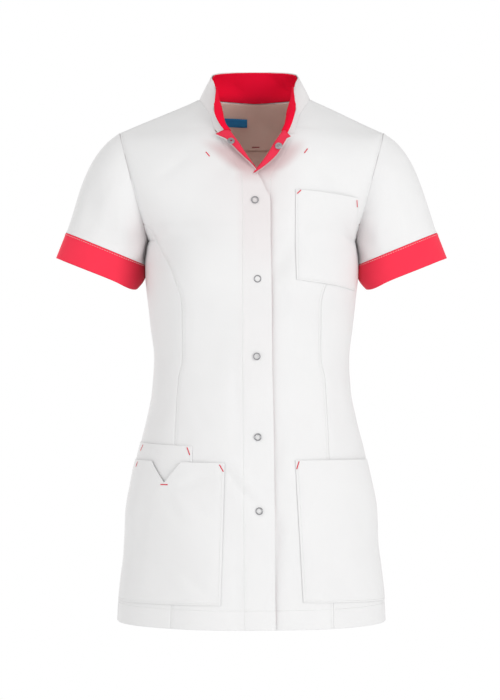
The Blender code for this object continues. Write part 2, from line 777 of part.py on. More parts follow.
def add_snaps():
    lift = WALL / 2 + SNAP_WIRE + SNAP_CLEAR
    for number, (x, z) in enumerate(SNAP_PLACES, 1):
        below = max(row for row in FRONT_ROWS if row <= z)
        above = min(row for row in FRONT_ROWS if row > z)
        low = body("front", s_at("front", x, below), below, lift)
        high = body("front", s_at("front", x, above), above, lift)
        centre = low + (high - low) * (z - below) / (above - below)
        ring(f"snap_{number}", centre, unit(np.cross((1.0, 0.0, 0.0), high - low)))
    for side, name, z in LAPEL_SNAPS:
        low = lapel_columns(side, z - LAPEL_SNAP_REACH)
        high = lapel_columns(side, z + LAPEL_SNAP_REACH)
        here = lapel_columns(side, z)
        k = LAPEL_SNAP_COLUMN
        normal = unit(np.cross(here[k + 1] - here[k - 1], high[k] - low[k]))
        if normal[1] > 0:
            normal = -normal
        lift = LAYER + FACING_WALL / 2 + SNAP_WIRE + LAPEL_SNAP_CLEAR
        ring(name, here[k] + normal * lift, normal)


def over_small(u, v):
    """How much further out the right hip pocket lies where the small one is beneath it."""
    return OVER_SMALL * ease(*OVER_ACROSS, u) * ease(*OVER_UP, v) + OVER_TOP * v


def notch_depth(u):
    """The V in the top edge of the right hip pocket."""
    return NOTCH_DEPTH * max(0.0, 1 - abs(u - NOTCH_CENTRE) / NOTCH_HALF)


def add_pockets():
    pocket("chest_pocket")
    pocket("hip_pocket_left")
    pocket("hip_pocket_right_small")
    pocket("hip_pocket_right", (NOTCH_COLUMNS, POCKET_STEPS[1]), over_small, notch_depth)


def add_label():
    x_from, x_to, z_from, z_to = LABEL
    columns, rows = LABEL_STEPS
    depth = -(LAYER + FACING_WALL / 2 + LABEL_WALL / 2 + LABEL_CLEAR)
    grid = []
    for i in range(rows + 1):
        z = z_from + (z_to - z_from) * i / rows
        places = [x_to + (x_from - x_to) * j / columns for j in range(columns + 1)]
        grid.append([body("back", s_at("back", x, z), z, depth) for x in places])
    cloth("label", [grid], LABEL_WALL, "label_cloth")


def build():
    for old in list(bpy.data.objects):
        bpy.data.objects.remove(old)
    tunic = bpy.data.collections.new("medical_tunic")
    bpy.context.scene.collection.children.link(tunic)

    cloth("back", [back_grid()], WALL, "white_cloth")
    cloth("back_neck_facing", [back_facing_grid()], FACING_WALL, "white_cloth")
    for side, word in ((-1, "right"), (1, "left")):
        cloth(f"front_{word}", front_blocks(side), WALL, "white_cloth")
        cloth(f"side_front_{word}", [side_grid(side)], WALL, "white_cloth")
        cloth(f"front_facing_{word}", [facing_grid(side)], FACING_WALL, "red_cloth")
        cloth(f"sleeve_{word}", [sleeve_grid(side)], WALL, "white_cloth", closed=True)
        cloth(f"cuff_{word}", [cuff_grid(side)], CUFF_WALL, "red_cloth", closed=True)
    collar = collar_grid()
    cloth("collar_outer", [collar], WALL, "white_cloth")
    cloth("collar_inner", [moved(collar, -COLLAR_LAYER)], FACING_WALL, "red_cloth")
    add_pockets()
    add_label()
    add_snaps()


build()
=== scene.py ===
"""The looks of a short-sleeved women's medical tunic: white twill panels with princess seams, red facings,
cuffs and collar lining, patch pockets, topstitching, bar tacks and ring snaps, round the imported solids.

Tables and sizes are in millimetres and the meshes in metres. +X is the wearer's left, the front faces
-Y, and the origin lies midway between the points where the shoulder seams meet the collar.
"""

import functools
import math

import bmesh
import bpy
import numpy as np
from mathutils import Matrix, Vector, noise


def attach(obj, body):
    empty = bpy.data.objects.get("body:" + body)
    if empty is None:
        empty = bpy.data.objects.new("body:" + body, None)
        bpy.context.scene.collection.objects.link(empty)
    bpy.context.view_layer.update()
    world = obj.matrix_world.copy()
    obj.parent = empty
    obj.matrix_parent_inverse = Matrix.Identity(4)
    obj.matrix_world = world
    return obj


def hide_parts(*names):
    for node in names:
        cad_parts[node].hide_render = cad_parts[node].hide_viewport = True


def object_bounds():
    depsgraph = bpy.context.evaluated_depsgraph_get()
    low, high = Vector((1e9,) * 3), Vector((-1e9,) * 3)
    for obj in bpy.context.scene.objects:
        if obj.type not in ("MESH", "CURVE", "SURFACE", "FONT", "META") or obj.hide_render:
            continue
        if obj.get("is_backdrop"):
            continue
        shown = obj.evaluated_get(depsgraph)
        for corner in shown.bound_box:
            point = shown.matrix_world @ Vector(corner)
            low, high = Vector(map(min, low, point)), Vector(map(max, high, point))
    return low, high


MM = 0.001

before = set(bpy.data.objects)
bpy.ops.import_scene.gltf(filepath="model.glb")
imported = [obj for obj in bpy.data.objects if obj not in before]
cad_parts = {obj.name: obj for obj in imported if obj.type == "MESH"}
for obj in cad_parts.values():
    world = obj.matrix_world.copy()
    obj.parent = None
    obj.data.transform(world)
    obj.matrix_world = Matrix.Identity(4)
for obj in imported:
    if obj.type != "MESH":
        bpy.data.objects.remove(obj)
cad_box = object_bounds()

WALL = 1.2          # outer cloth
FACING_WALL = 1.0
CUFF_WALL = 2.0
LABEL_WALL = 0.6
GAP = 0.15          # between pieces at a seam
LAYER_GAP = 0.5     # between layers that lie on each other
RIDGE_GAP = 0.8     # at the shoulder seams, where two walls meet at an angle
LAYER = WALL / 2 + LAYER_GAP + FACING_WALL / 2    # from a panel to the facing inside it

TINY = 1e-9
AWAY = {"front": -1, "back": 1}     # which way each face lies along Y

HEM_Z = -718
UNDERARM_Z = -196
SHOULDER_Z = -47
ARMHOLE_MIDDLE = 161        # x of the middle of the armhole
ARMHOLE_LEAN = 20           # how far its ends lie inside and outside that
INSIDE_END = 0.01           # a sleeve's seam stays this far inside the armhole's two ends
ARMHOLE_FRONT = 58
ARMHOLE_BACK = 60
NECK_HALF = 76              # from the centre to where a shoulder seam meets the collar
NECK_Y = 5
NECK_SHIFT = 4.5            # the collar sits this far to the wearer's left,
NECK_SHIFT_Z = (-130, -40)  # which grows between these heights
NECK_SHIFT_X = (90, 170)    # and fades out between these distances from the centre line
PRINCESS_TOP = -173         # where the princess seam meets the armhole
PRINCESS_LAST = -182        # and from where it runs straight to that corner
TRIM_TOP = -180             # up to here the armhole trims the body's own curve
FLAT_Z = -112               # below this the front edges lie flat, above it they turn out
LAPEL_OPEN_Z = {-1: -106, 1: -108.5}    # from here up they turn out fully, right and left
LAPEL_TOP = -54
LAPEL_TURN = math.radians(170)
LAPEL_RADIUS = 3.0
AHEAD_S = 0.01              # the way in which it starts out is taken over this step
# How far the notch and the lapel's corner hang down, on the wearer's right and left.
LAPEL_DROP = {-1: (0.0, 6.5), 1: (4.0, 9.5)}
LAPEL_DROP_FROM = -66
LAPEL_CURL = 0.8            # most of a narrow lapel's width that goes into its turn
LAPEL_FLAT = (0.05, 0.15, 0.27, 0.4, 0.55, 0.7, 0.85, 0.93, 0.97, 1.0)
CURL_COLUMNS = 10
NOTCH_COLUMN = CURL_COLUMNS + 3
UNDERLAP = 2 * LAYER + 0.8  # the left front lies this far in, under the right one and its facing,
UNDERLAP_X = (22, 54)       # fading out between these distances from the centre line
UNDERLAP_Z = (-104, -60)    # and these heights
HALVINGS = 26               # of the range in which a place on the form is looked for
SLOPE_S = 0.004             # the form's directions are taken over these steps
SLOPE_Z = 2.0
SIDE_S = 0.9                # beyond this s the form runs round the side
FACING_SHORT = 1.4          # the white edge stands this far past its facing
FACING_HEM = 6              # and the hem this far below it


def hermite(t):
    """At this part of a smooth curve: the weights of its start, of its direction there, of its end and of
    its direction there."""
    return 2 * t**3 - 3 * t**2 + 1, t**3 - 2 * t**2 + t, 3 * t**2 - 2 * t**3, t**3 - t**2


class Table:
    """Rows of numbers under named columns; the first column is the key, and between rows each of the
    others is a smooth curve that doesn't overshoot."""

    def __init__(self, names, *rows):
        names = names.split()
        columns = np.array(sorted(rows), float).T
        self.keys = columns[0]
        self.values = dict(zip(names, columns))
        self.slopes = {name: self.slope(values) for name, values in self.values.items()}

    def slope(self, values):
        steps = np.diff(values) / np.diff(self.keys)
        slopes = np.zeros(len(values))
        slopes[0] = steps[0]
        slopes[-1] = steps[-1]
        for i in range(1, len(values) - 1):
            before = steps[i - 1]
            after = steps[i]
            if before * after > 0:
                slopes[i] = 2 * before * after / (before + after)
        return slopes

    def __call__(self, name, at):
        at = min(max(at, self.keys[0]), self.keys[-1])
        i = min(max(int(np.searchsorted(self.keys, at)) - 1, 0), len(self.keys) - 2)
        length = self.keys[i + 1] - self.keys[i]
        start, leave, end, arrive = hermite((at - self.keys[i]) / length)
        values = self.values[name]
        slopes = self.slopes[name]
        return (start * values[i] + leave * length * slopes[i]
                + end * values[i + 1] + arrive * length * slopes[i + 1])


# The body's width at the side seams, below the armholes.
WIDTH = Table(
    "z half",
    (HEM_Z, 184), (-690, 182.5), (-649, 178), (-608, 173), (-566, 171), (-525, 164), (-484, 154.5),
    (-442, 144), (-401, 136), (-359, 133.5), (-318, 137.5), (-276, 141), (-252, 143.6), (-228, 145.2),
    (-207, 144.4), (UNDERARM_Z, ARMHOLE_MIDDLE - ARMHOLE_LEAN),
)

# How far the front and back stand out at the centre, which way they run (degrees from the X axis) where
# they meet their side seam, armhole or shoulder seam, and how full they are at the centre and the end.
LEVEL = Table(
    "z front back front_turn back_turn centre_pull end_pull",
    (HEM_Z, 127, 120, 90, 90, 1.72, 1.72),
    (-600, 122, 120, 90, 90, 1.72, 1.72),
    (-525, 115, 114, 90, 90, 1.72, 1.72),
    (-442, 106, 98, 90, 90, 1.72, 1.72),
    (-380, 103, 90, 90, 90, 1.72, 1.72),
    (-318, 112, 92, 90, 90, 1.72, 1.72),
    (-250, 124, 99, 90, 90, 1.72, 1.72),
    (UNDERARM_Z, 121, 104, 90, 90, 1.72, 1.72),
    (TRIM_TOP, 119, 105, 74, 75, 1.34, 1.76),
    (-150, 114, 106, 66, 72, 1.3, 1.6),
    (-121, 107, 105, 60, 68, 1.26, 1.5),
    (-90, 98, 102, 54, 62, 1.2, 1.4),
    (-60, 86, 96, 46, 56, 1.1, 1.3),
    (SHOULDER_Z, 80, 92, 42, 52, 1.0, 1.2),
    (-28, 70, 83, 38, 52, 0.95, 1.15),
    (-12, 58, 73, 36, 62, 0.9, 1.2),
    (0, 50, 62, 34, 76, 1.1, 1.45),
)

# The princess seams: distance from the centre line.
PRINCESS = Table(
    "z half",
    (HEM_Z, 108.6), (-600, 106), (-470, 103.5), (-385, 99), (-359, 93.5), (-319, 92), (-279, 89),
    (-248, 97.5), (-212, 118.7), (-190, 131), (PRINCESS_TOP, 141),
)

# The neck seam on the fronts: distance from the middle of the neck.
NECK = Table("z half", (-54, 52), (-41, 56.5), (-28, 60), (-15.6, 66.7), (-6, 72.5), (0, NECK_HALF))

# The closing line, how far each roll line lies outside it, the width of cloth from there to the edge on
# the wearer's right and left, and the width of the facing on the other side of the line.
EDGE = Table(
    "z closing roll beyond_right beyond_left facing",
    (HEM_Z, 9.5, 0, 23, 23, 19),
    (-480, 8, 0, 22, 22, 19),
    (-345, 7, 0, 20.5, 20.5, 19),
    (-200, 7, 0, 18.5, 18.5, 19),
    (-145, 7, 0, 18, 18, 19),
    (-130, 6.5, 0, 12, 12, 19),
    (-118, 6, 0.5, 7.5, 7.5, 19),
    (-109, 5.7, 1.5, 3, 9, 19),
    (-104, 5.3, 4.5, 5.5, 13, 19),
    (-98, 5, 9.5, 8.5, 16, 18),
    (-84, 4.4, 19.2, 14, 20, 17),
    (-69, 3.2, 28.5, 19.7, 20.5, 15),
    (-60, 2.5, 34.8, 23, 18.5, 13.6),
    (LAPEL_TOP, 2.1, 38.8, 25, 16, 12.5),
)

# The collar, from the notch round to the centre back: how far along its seam (0 to 1), the middle of its
# height and its top edge, which rolls outwards at the front.
COLLAR = Table(
    "along mid_x mid_y mid_z top_x top_y top_z",
    (0, 52.0, -77, -34, 56.5, -67, -20.5),
    (0.04, 46.5, -78, -35, 56, -60, -16),
    (0.08, 44.5, -72, -33, 55.2, -52, -10.5),
    (0.14, 46, -63, -26, 54.7, -42, -4),
    (0.22, 49.5, -52, -18, 54.4, -30, 4),
    (0.31, 53.5, -37, -6, 54.5, -14, 13.5),
    (0.40, 60, -19, 6, 56, 1, 22),
    (0.55, 67.5, 8, 18, 60, 18, 32),
    (0.69, 63.5, 38, 20, 58.5, 35, 38),
    (0.80, 45.5, 55.5, 21, 43, 48, 42.5),
    (0.905, 22, 60.5, 22, 21, 54, 43.8),
    (1, 0, 61, 22, 0, 55.5, 44),
)
COLLAR_CLEAR = 0.2          # the collar starts this far above its seam
COLLAR_LAYER = LAYER + 1.0
COLLAR_PARTS = (0, 0.02, 0.06, 0.15, 0.25, 0.35, 0.45, 0.55, 0.65, 0.75, 0.82, 0.87, 0.91, 0.97, 1)
COLLAR_STITCH_ROW = 12
COLLAR_BACK_STEPS = 20
COLLAR_CREASES_FROM = 0.4   # creases are whole from this part of its height up

# The body's soft ridges (or dips, below 0): the middle of each one, its direction (degrees from upright),
# its half length and half width, and its height.
RELIEF = {
    "front": (
        # x, z, lean, half_length, half_width, height
        (-84, -252, 0, 52, 48, 11),
        (84, -252, 0, 52, 48, 11),
        (-12, -540, -32, 62, 26, 4.0),
        (-62, -650, 4, 110, 34, 3.2),
        (48, -640, -6, 100, 28, -4.0),
        (100, -660, -4, 110, 34, 3.2),
        (-128, -640, 3, 110, 34, -3.0),
        (40, -215, -30, 60, 22, -3.0),
        (-52, -345, 8, 60, 26, -3.0),
        (60, -400, -12, 70, 26, -3.0),
    ),
    "back": (
        (0, -150, 0, 90, 42, -4),
        (-62, -640, 4, 110, 26, 4.5),
        (8, -650, -3, 110, 24, -4.5),
        (70, -640, -5, 110, 26, 4.5),
        (-40, -350, 14, 60, 18, 3.0),
        (46, -375, -16, 60, 18, 3.0),
    ),
}

# The creases that lie on those: thin troughs and ridges, listed as above.
CREASES = {
    "front": (
        (-15, -530, -40, 34, 7, -2.8),
        (-8, -520, -40, 32, 8, 2.0),
        (-17, -664, 0, 44, 8, -2.0),
        (-19, -412, -2, 46, 9, -1.6),
        (33, -655, 3, 62, 7, -3.0),
        (36, -590, -4, 26, 8, -2.6),
        (35, -490, 8, 24, 9, -2.0),
        (42, -226, 24, 34, 10, -2.6),
        (-80, -183, -56, 26, 9, -1.3),
        (-62, -300, 14, 34, 9, -0.8),
        (58, -330, -10, 40, 10, -0.9),
        (72, -452, 28, 30, 9, -0.9),
        (-66, -440, -24, 34, 9, -0.8),
        (-124, -430, 16, 30, 8, -1.0),
        (-118, -345, -12, 26, 8, -0.9),
        (120, -352, 14, 30, 8, -1.0),
        (124, -440, -18, 32, 8, -1.0),
        (-80, -523, 75, 24, 6, -1.8),
        (-105, -557, -30, 20, 6, -1.6),
        (-64, -561, -60, 16, 6, -1.5),
        (-73, -659, -48, 26, 7, -2.0),
        (88, -560, 30, 26, 8, -0.9),
        (118, -640, -22, 34, 8, -1.0),
        (86, -668, 12, 26, 7, -0.8),
        (-150, -600, 8, 60, 8, -1.2),
        (-118, -110, 52, 24, 8, -0.9),
        (-98, -92, 48, 26, 9, -1.0),
        (112, -118, -50, 26, 8, -0.9),
        (96, -96, -44, 28, 9, -1.1),
        (-118, -222, -62, 24, 7, -1.0),
        (122, -214, 60, 26, 7, -1.0),
        (-34, -96, 48, 22, 12, -2.2),
        (40, -98, -48, 24, 12, -2.0),
    ),
    "back": (
        (-30, -300, 40, 34, 8, -1.2),
        (34, -318, -36, 36, 8, -1.2),
        (-64, -412, 30, 40, 9, -1.4),
        (58, -430, -28, 42, 9, -1.3),
        (-8, -360, 84, 30, 9, -1.2),
        (10, -396, -80, 34, 8, -1.0),
        (-104, -330, -24, 34, 8, -1.1),
        (108, -352, 26, 36, 8, -1.2),
        (-92, -560, 6, 70, 9, -1.4),
        (40, -600, -4, 84, 9, -1.3),
        (-20, -660, 3, 54, 8, -1.2),
        (112, -640, -6, 60, 9, -1.3),
        (-110, -150, 40, 36, 9, -1.2),
        (104, -138, -44, 38, 9, -1.2),
        (-60, -86, 58, 26, 8, -0.9),
        (58, -92, -56, 28, 8, -0.8),
        (-20, -220, 12, 60, 10, -1.1),
        (26, -206, -10, 56, 10, -1.0),
        (-66, -378, 3, 92, 4.5, -1.6),
        (66, -378, -3, 92, 4.5, -1.6),
        (-14, -26, 50, 26, 8, -1.6),
        (22, -34, -50, 24, 8, 1.6),
    ),
    "collar": (
        (49, 28, -35, 13, 3.5, -2.2),
        (36, 31, -42, 16, 5, 1.7),
        (-21, 23, -42, 13, 4, 1.9),
        (-38, 30, 20, 14, 5, -1.3),
        (6, 26, 8, 12, 7, -0.8),
    ),
}

# Creases of the sleeves: place round the arm (degrees from the underarm over the front), part of the way
# down, half length and half width round and down, lean and height.
SLEEVE_CREASES = (
    # angle, down, half_angle, half_down, lean, height
    (14, 0.6, 8, 0.4, 0.1, 1.2),
    (35, 0.62, 9, 0.42, 0.3, -5.0),
    (52, 0.6, 8, 0.35, 0.4, 1.4),
    (-16, 0.5, 9, 0.4, -0.2, 1.0),
    (-40, 0.55, 11, 0.4, -0.5, -3.6),
    (64, 0.35, 13, 0.3, 0.9, -1.4),
    (104, 0.5, 16, 0.35, 0.6, -1.3),
    (140, 0.75, 14, 0.3, -0.4, -1.1),
    (-76, 0.4, 13, 0.3, -0.9, -1.4),
    (-118, 0.6, 16, 0.35, -0.6, -1.4),
    (-152, 0.7, 15, 0.3, 0.3, -1.0),
    (176, 0.2, 14, 0.25, 0.0, -0.8),
)
SLEEVE_LEAN = 40            # degrees round the arm for a lean of 1 over the whole length
SLEEVE_LEFT_CREASES = 0.55  # the wearer's left sleeve is smoother
SLEEVE_UNEVEN = 0.8
SLEEVE_NOISE = (3, 7)       # how fast that changes, and how far apart the two sides lie in the noise
SLEEVE_PLAIN = (0.12, 0.9)  # creases fade out before this part of its length and after this one
SLEEVE_ROLL = (0.45, 0.035)             # how far it turns in at the armhole, and over which part
SLEEVE_END_ROLL = (0.5, 0.972)          # and at the cuff, and from which part

RIDGE_REACH = 3             # a ridge or crease ends at this many times its half length and width

# Where the form is evened out: from and to these heights, and over about how far each way.
SETTLE = ((-250, -128, 15), (-86, -12, 9))
SETTLE_FADE = 22            # how gently that starts and ends
SETTLE_REACH = 30
SETTLE_STEP = 1.5
SETTLE_X = range(0, 192, 6)
SETTLE_EDGE = (2, 24)       # it comes in between these distances from the seam
SETTLE_NECK = 16            # and over this one from the neck

UNEVEN_LARGE = (85, 0.9)    # size and height of the cloth's slow unevenness
UNEVEN_SMALL = (26, 0.28)   # and of its finer one
UNEVEN_END = (-60, -20)     # both fade out towards the neck between these heights
UNEVEN_DEPTH = {"front": 0.0, "back": 500.0}    # the places of the two faces in the noise

HEM_STITCH = 26             # the hem's stitched line lies this far above its edge
GROOVE = 0.28               # how deep a stitched line sinks
GROOVE_HALF = 0.9
SEAM_ROLL = 0.45            # how far cloth turns in at a seam
SEAM_ROLL_WIDTH = 3.2
GROOVE_LEAST = 0.02         # where the hem's groove is shallower, the cloth stays as it is
SIDE_ROLL = 0.6             # a side front turns in by this part of it at the side seam
BACK_COLUMNS = 66
SIDE_COLUMNS = 12
MAIN_COLUMNS = 26
FACING_COLUMNS = 7
NEAR_EDGE = (0, 0.7, 1.6, 3.0)                        # columns beside a plain edge
NEAR_STITCH = (0, 0.7, 1.6, 2.6, 3.6, 4.6, 6.0)       # and beside one with a line of stitches
NEAR_FACING = (0, 0.9, 1.8)                           # beside the line where a front's facing ends
NEAR_PLAIN = (0, 0.7)                                 # and beside the ends of the back neck facing
STITCH_AT = 3.6                                       # a stitched line's distance from its edge
STITCH_COLUMN = NEAR_STITCH.index(STITCH_AT)
NEAR_LIMIT = 0.75                                     # on a short row they fill this part of it
ROW_PLACES = 33                                       # places from which a row's lengths are taken

SLEEVE_COLUMNS = 108
SLEEVE_PARTS = (0, 0.008, 0.02, 0.04) + tuple(0.07 + 0.88 * k / 22 for k in range(23)) + (0.972, 0.99, 1)
SLEEVE_DEPTH_SHIFT = -3
# How a sleeve runs out of its armhole and on into its cuff, sideways and down: at the underarm and at the
# shoulder, and how far it bulges to the front and back as it leaves.
SLEEVE_LEAVE = ((9, -36), (152, -92))
SLEEVE_ARRIVE = ((2, -38), (48, -112))
SLEEVE_BULGE = 34
SLEEVE_CLEAR = 0.5          # a sleeve starts this far outside its armhole
UNDERARM_CLEAR = 1.7        # and this much further out at the underarm, where it lies beside the body
CUFF_PARTS = (0, 0.025, 0.06, 0.1, 0.14, 0.3, 0.45, 0.6, 0.75, 0.88, 0.95, 0.98, 1)
CUFF_STITCH_ROW = 2
CUFF_GROOVE = (0.5, 0.03)       # how deep its stitched line sinks, over which part of its height
CUFF_CLEAR = 0.2                # between it and its sleeve, besides the gap of every seam
# Two sections of each sleeve: its inner and outer points as seen from the front, and its half depth.
SECTION = {
    "cuff_top": (147.0, -229, 254.7, -184.5, 49),
    "hem": (158.7, -262.5, 268.4, -219.4, 48),
}
CUFF_SAG = 2.2                  # the hem hangs this far lower beside its inner corner,
CUFF_SAG_AT = 40                # this many degrees from it
CUFF_SAG_HALF = 20
CUFF_LIFT = 0.6 * CUFF_SAG      # and less at the corner itself
CUFF_NOISE = (2, 5, 9)          # as for a sleeve, and the height in the noise
CUFF_INNER = (147.0, -246)      # the inside of the cuff bends round the body's side here

POCKET_LIFT = WALL / 2 + FACING_WALL / 2 + LAYER_GAP
NEAR_SIDE = 0.7                 # from this part of its width on, a hip pocket nears the side seam
POCKET_AT_SIDE = 0.25           # and lies this much closer there
AT_SIDE = 0.97              # a pocket that reaches the side seam runs this part of the way out
TO_SIDE = None
# Each pocket: its side, its corners as distances from the centre line and heights (bottom inner, bottom
# outer, top outer, top inner), how far its top gapes, and its width and height.
POCKETS = {
    "chest_pocket": (1, ((57, -252), (136, -265), (144.5, -141), (58.7, -131)), 1.8, (92, 124)),
    "hip_pocket_left": (1, ((68.8, -681.7), (TO_SIDE, -689), (TO_SIDE, -496), (58, -493)), 2.6, (140, 192)),
    "hip_pocket_right_small": (
        -1, ((80, -600), (TO_SIDE, -600), (TO_SIDE, -472), (78.4, -474.5)), 0.8, (110, 127)),
    "hip_pocket_right": (
        -1, ((40.5, -685), (TO_SIDE, -688), (TO_SIDE, -496), (35, -496.6)), 1.6, (160, 190)),
}
POCKET_SIDE = (0, 0.7, 1.5, 2.4, 3.3)       # columns and rows beside a pocket's edges
POCKET_STITCH = 3
POCKET_STITCH_AT = 2.4
POCKET_TURN = 0.25                          # how far its edges turn in
POCKET_STEP = 4.5
POCKET_SPARE = 0.4                          # columns closer than this part of a step are left out
# The right hip pocket rises over the small one, over these parts of its width and height, and a little
# more towards its top.
OVER_SMALL = FACING_WALL + LAYER_GAP
OVER_ACROSS = (0.1, 0.32)
OVER_UP = (0.28, 0.42)
OVER_TOP = 0.6
OVER_LESS = 0.15        # near the side seam it rises less, by this part
# The V in the right hip pocket's top edge: its inner end, tip and outer end as parts of the pocket's width.
NOTCH = (0.308, 0.425, 0.59)
NOTCH_DEPTH = 28
SNAP_RADIUS = 4.3
SNAP_WIRE = 0.75
SNAPS = 5
SNAP_SEGMENTS = 40
RING_FLAT = 0.75                # a ring's height for its width
LABEL = (-43.5, -11.5, -29, -18)     # x from, x to, z from, z to
LABEL_CLEAR = 1.0
LABEL_COLUMNS = 17
LABEL_ROWS = 7
BACK_FACING_LOW = -64           # the back neck facing reaches down to here
BACK_FACING_PART = 12 / 14      # and this part of the way to the shoulder seams

STITCH = (2.7, 0.9)             # a stitch's length and the space to the next
STITCH_START = 1.0              # the first one is this far from the path's start
THREAD = 0.32                   # half its width
THREAD_PARTS = (0.22, 0.78)     # it is full between these parts of its length
THREAD_UNDER = 0.5              # its lower half is flatter by this factor
THREAD_OUT = 0.35               # its middle is off the cloth by this part of its half width
TACK_STEP = 0.42                # between the stitches of a bar tack
TACK_HALF = 0.85                # half its width
TACK_SLANT = 0.3                # each of its stitches slants by this part of a step each way
TACK_THREAD = (0.26, 0.34)      # half the width and the height of its stitches
TACK_PADDING = (0.7 * TACK_HALF, 0.2)   # and of the thread along it, under them

DART_X = 66                     # from the centre of the back,
DART_MIDDLE = -378              # at this height
DART_SLANT = 0.05
DART_Z = (-500, -262)
DART_POINTS = 80
DART_OUT = 0.1                  # how far off the cloth its stitches' middles are

# Bar tacks: the piece that each one lies on, and from x, z to x, z.
TACKS = (
    ("tack_shoulder_right", "front_right", (-61.1, -80.3), (-56.2, -86.2)),
    ("tack_shoulder_left", "front_left", (75.0, -75.6), (70.8, -81.4)),
    ("tack_chest_inner", "chest_pocket", (60.8, -137.0), (65.8, -132.4)),
    ("tack_chest_outer", "chest_pocket", (141.6, -143.5), (142.2, -152.5)),
    ("tack_hip_left", "hip_pocket_left", (63.2, -494.8), (60.1, -504.5)),
    ("tack_hip_right", "hip_pocket_right", (-42.6, -498.6), (-37.6, -507.6)),
    ("tack_small_inner", "hip_pocket_right_small", (-86.1, -476.4), (-82.6, -486.2)),
    ("tack_small_outer", "hip_pocket_right_small", (-147.5, -475.5), (-151.0, -483.0)),
    ("tack_notch", "hip_pocket_right", (-121.8, -526.4), (-112.4, -526.4)),
    ("tack_hip_outer", "hip_pocket_right", (-155.0, -498.5), (-157.2, -505.0)),
    ("tack_back", "inside", (0.8, -57.8), (11.2, -57.8)),
)


def ease(low, high, value):
    """0 at low and 1 at high, with a soft start and end."""
    t = min(max((value - low) / (high - low), 0.0), 1.0)
    return t * t * (3 - 2 * t)


def unit(vector):
    return vector / max(np.linalg.norm(vector), TINY)


def between(low, high, part):
    """The pair of numbers this part of the way from one pair to another."""
    return low[0] + (high[0] - low[0]) * part, low[1] + (high[1] - low[1]) * part


# The body's form

@functools.lru_cache(maxsize=None)
def seam_point(face, z):
    """Where the front or back ends at this height: how far sideways, and how far out from the centre."""
    if z <= UNDERARM_Z:
        return WIDTH("half", z), 0.0
    if z < SHOULDER_Z:
        middle = (UNDERARM_Z + SHOULDER_Z) / 2
        cosine = (middle - z) / ((SHOULDER_Z - UNDERARM_Z) / 2)
        depth = ARMHOLE_FRONT if face == "front" else ARMHOLE_BACK
        sine = math.sqrt(max(0.0, 1 - cosine**2))
        return ARMHOLE_MIDDLE - ARMHOLE_LEAN * cosine, depth * sine
    up = (z - SHOULDER_Z) / -SHOULDER_Z
    shoulder = ARMHOLE_MIDDLE + ARMHOLE_LEAN
    return shoulder + (NECK_HALF - shoulder) * up, AWAY[face] * NECK_Y * up


def trimmed(face, name, z):
    """A number of the level curve, which at the foot of the armhole changes as fast as its edge moves."""
    if not UNDERARM_Z < z < TRIM_TOP:
        return LEVEL(name, z)
    low = LEVEL(name, UNDERARM_Z)
    high = LEVEL(name, TRIM_TOP)
    return low + (high - low) * seam_point(face, z)[1] / seam_point(face, TRIM_TOP)[1]


@functools.lru_cache(maxsize=None)
def level_curve(face, z):
    """The numbers of the curve that one half of the front or back follows at this height."""
    end_x, end_out = seam_point(face, z)
    depth = LEVEL(face, z)
    turn = math.radians(trimmed(face, face + "_turn", z))
    centre_pull = trimmed(face, "centre_pull", z) * end_x
    end_pull = trimmed(face, "end_pull", z) * (depth - end_out) / math.sin(turn)
    return end_x, end_out, depth, centre_pull, end_pull * math.cos(turn), -end_pull * math.sin(turn)


def smooth_point(face, s, z):
    """A point of the body's smooth form; s runs from 0 at the centre to 1 at the wearer's left seam, and
    to -1 at the right one."""
    end_x, end_out, depth, centre_pull, pull_x, pull_out = level_curve(face, z)
    start, leave, end, arrive = hermite(abs(s))
    x = leave * centre_pull + end * end_x + arrive * pull_x
    out = start * depth + end * end_out + arrive * pull_out
    return np.array((math.copysign(x, s), AWAY[face] * out, z))


def s_at(face, x, z):
    """The s of the point that lies this far sideways."""
    low = -1.0
    high = 1.0
    for _ in range(HALVINGS):
        middle = (low + high) / 2
        if smooth_point(face, middle, z)[0] < x:
            low = middle
        else:
            high = middle
    return (low + high) / 2


@functools.lru_cache(maxsize=None)
def depth_at(face, x, z):
    """How far out from the centre the smooth form lies at this distance from the centre line."""
    return abs(smooth_point(face, s_at(face, x, z), z)[1])


@functools.lru_cache(maxsize=None)
def settled(face, low, high, spread):
    """By distance from the centre line and height: how far out the form lies once it is evened out over
    the ends of the armhole, which would otherwise leave sharp lines across the chest."""
    heights = np.arange(low - SETTLE_REACH, min(high + SETTLE_REACH, 0), SETTLE_STEP)
    depths = np.array([[depth_at(face, x, z) for z in heights] for x in SETTLE_X])
    reach = np.arange(-SETTLE_REACH, SETTLE_REACH + SETTLE_STEP, SETTLE_STEP)
    weights = np.exp(-((reach / spread) ** 2))
    weights /= weights.sum()
    half = len(reach) // 2
    padded = np.pad(depths, ((0, 0), (half, half)), mode="edge")
    even = np.array([np.convolve(row, weights, mode="valid") for row in padded])
    return heights, even[:, :len(heights)]


def settle(face, point, z):
    """How far out this point moves where the form is evened out."""
    x = abs(point[0])
    inside = ease(*SETTLE_EDGE, seam_point(face, z)[0] - x)
    if z > SHOULDER_Z:
        inside *= ease(0, SETTLE_NECK, x - NECK_HALF)
    move = 0.0
    for low, high, spread in SETTLE:
        weight = inside * ease(low, low + SETTLE_FADE, z) * (1 - ease(high - SETTLE_FADE, high, z))
        if weight > 0:
            heights, even = settled(face, low, high, spread)
            i = min(int(x / (SETTLE_X[1] - SETTLE_X[0])), len(SETTLE_X) - 2)
            part = (x - SETTLE_X[i]) / (SETTLE_X[i + 1] - SETTLE_X[i])
            near = np.interp(z, heights, even[i]) - depth_at(face, SETTLE_X[i], z)
            far = np.interp(z, heights, even[i + 1]) - depth_at(face, SETTLE_X[i + 1], z)
            move += weight * (near + (far - near) * part)
    return move


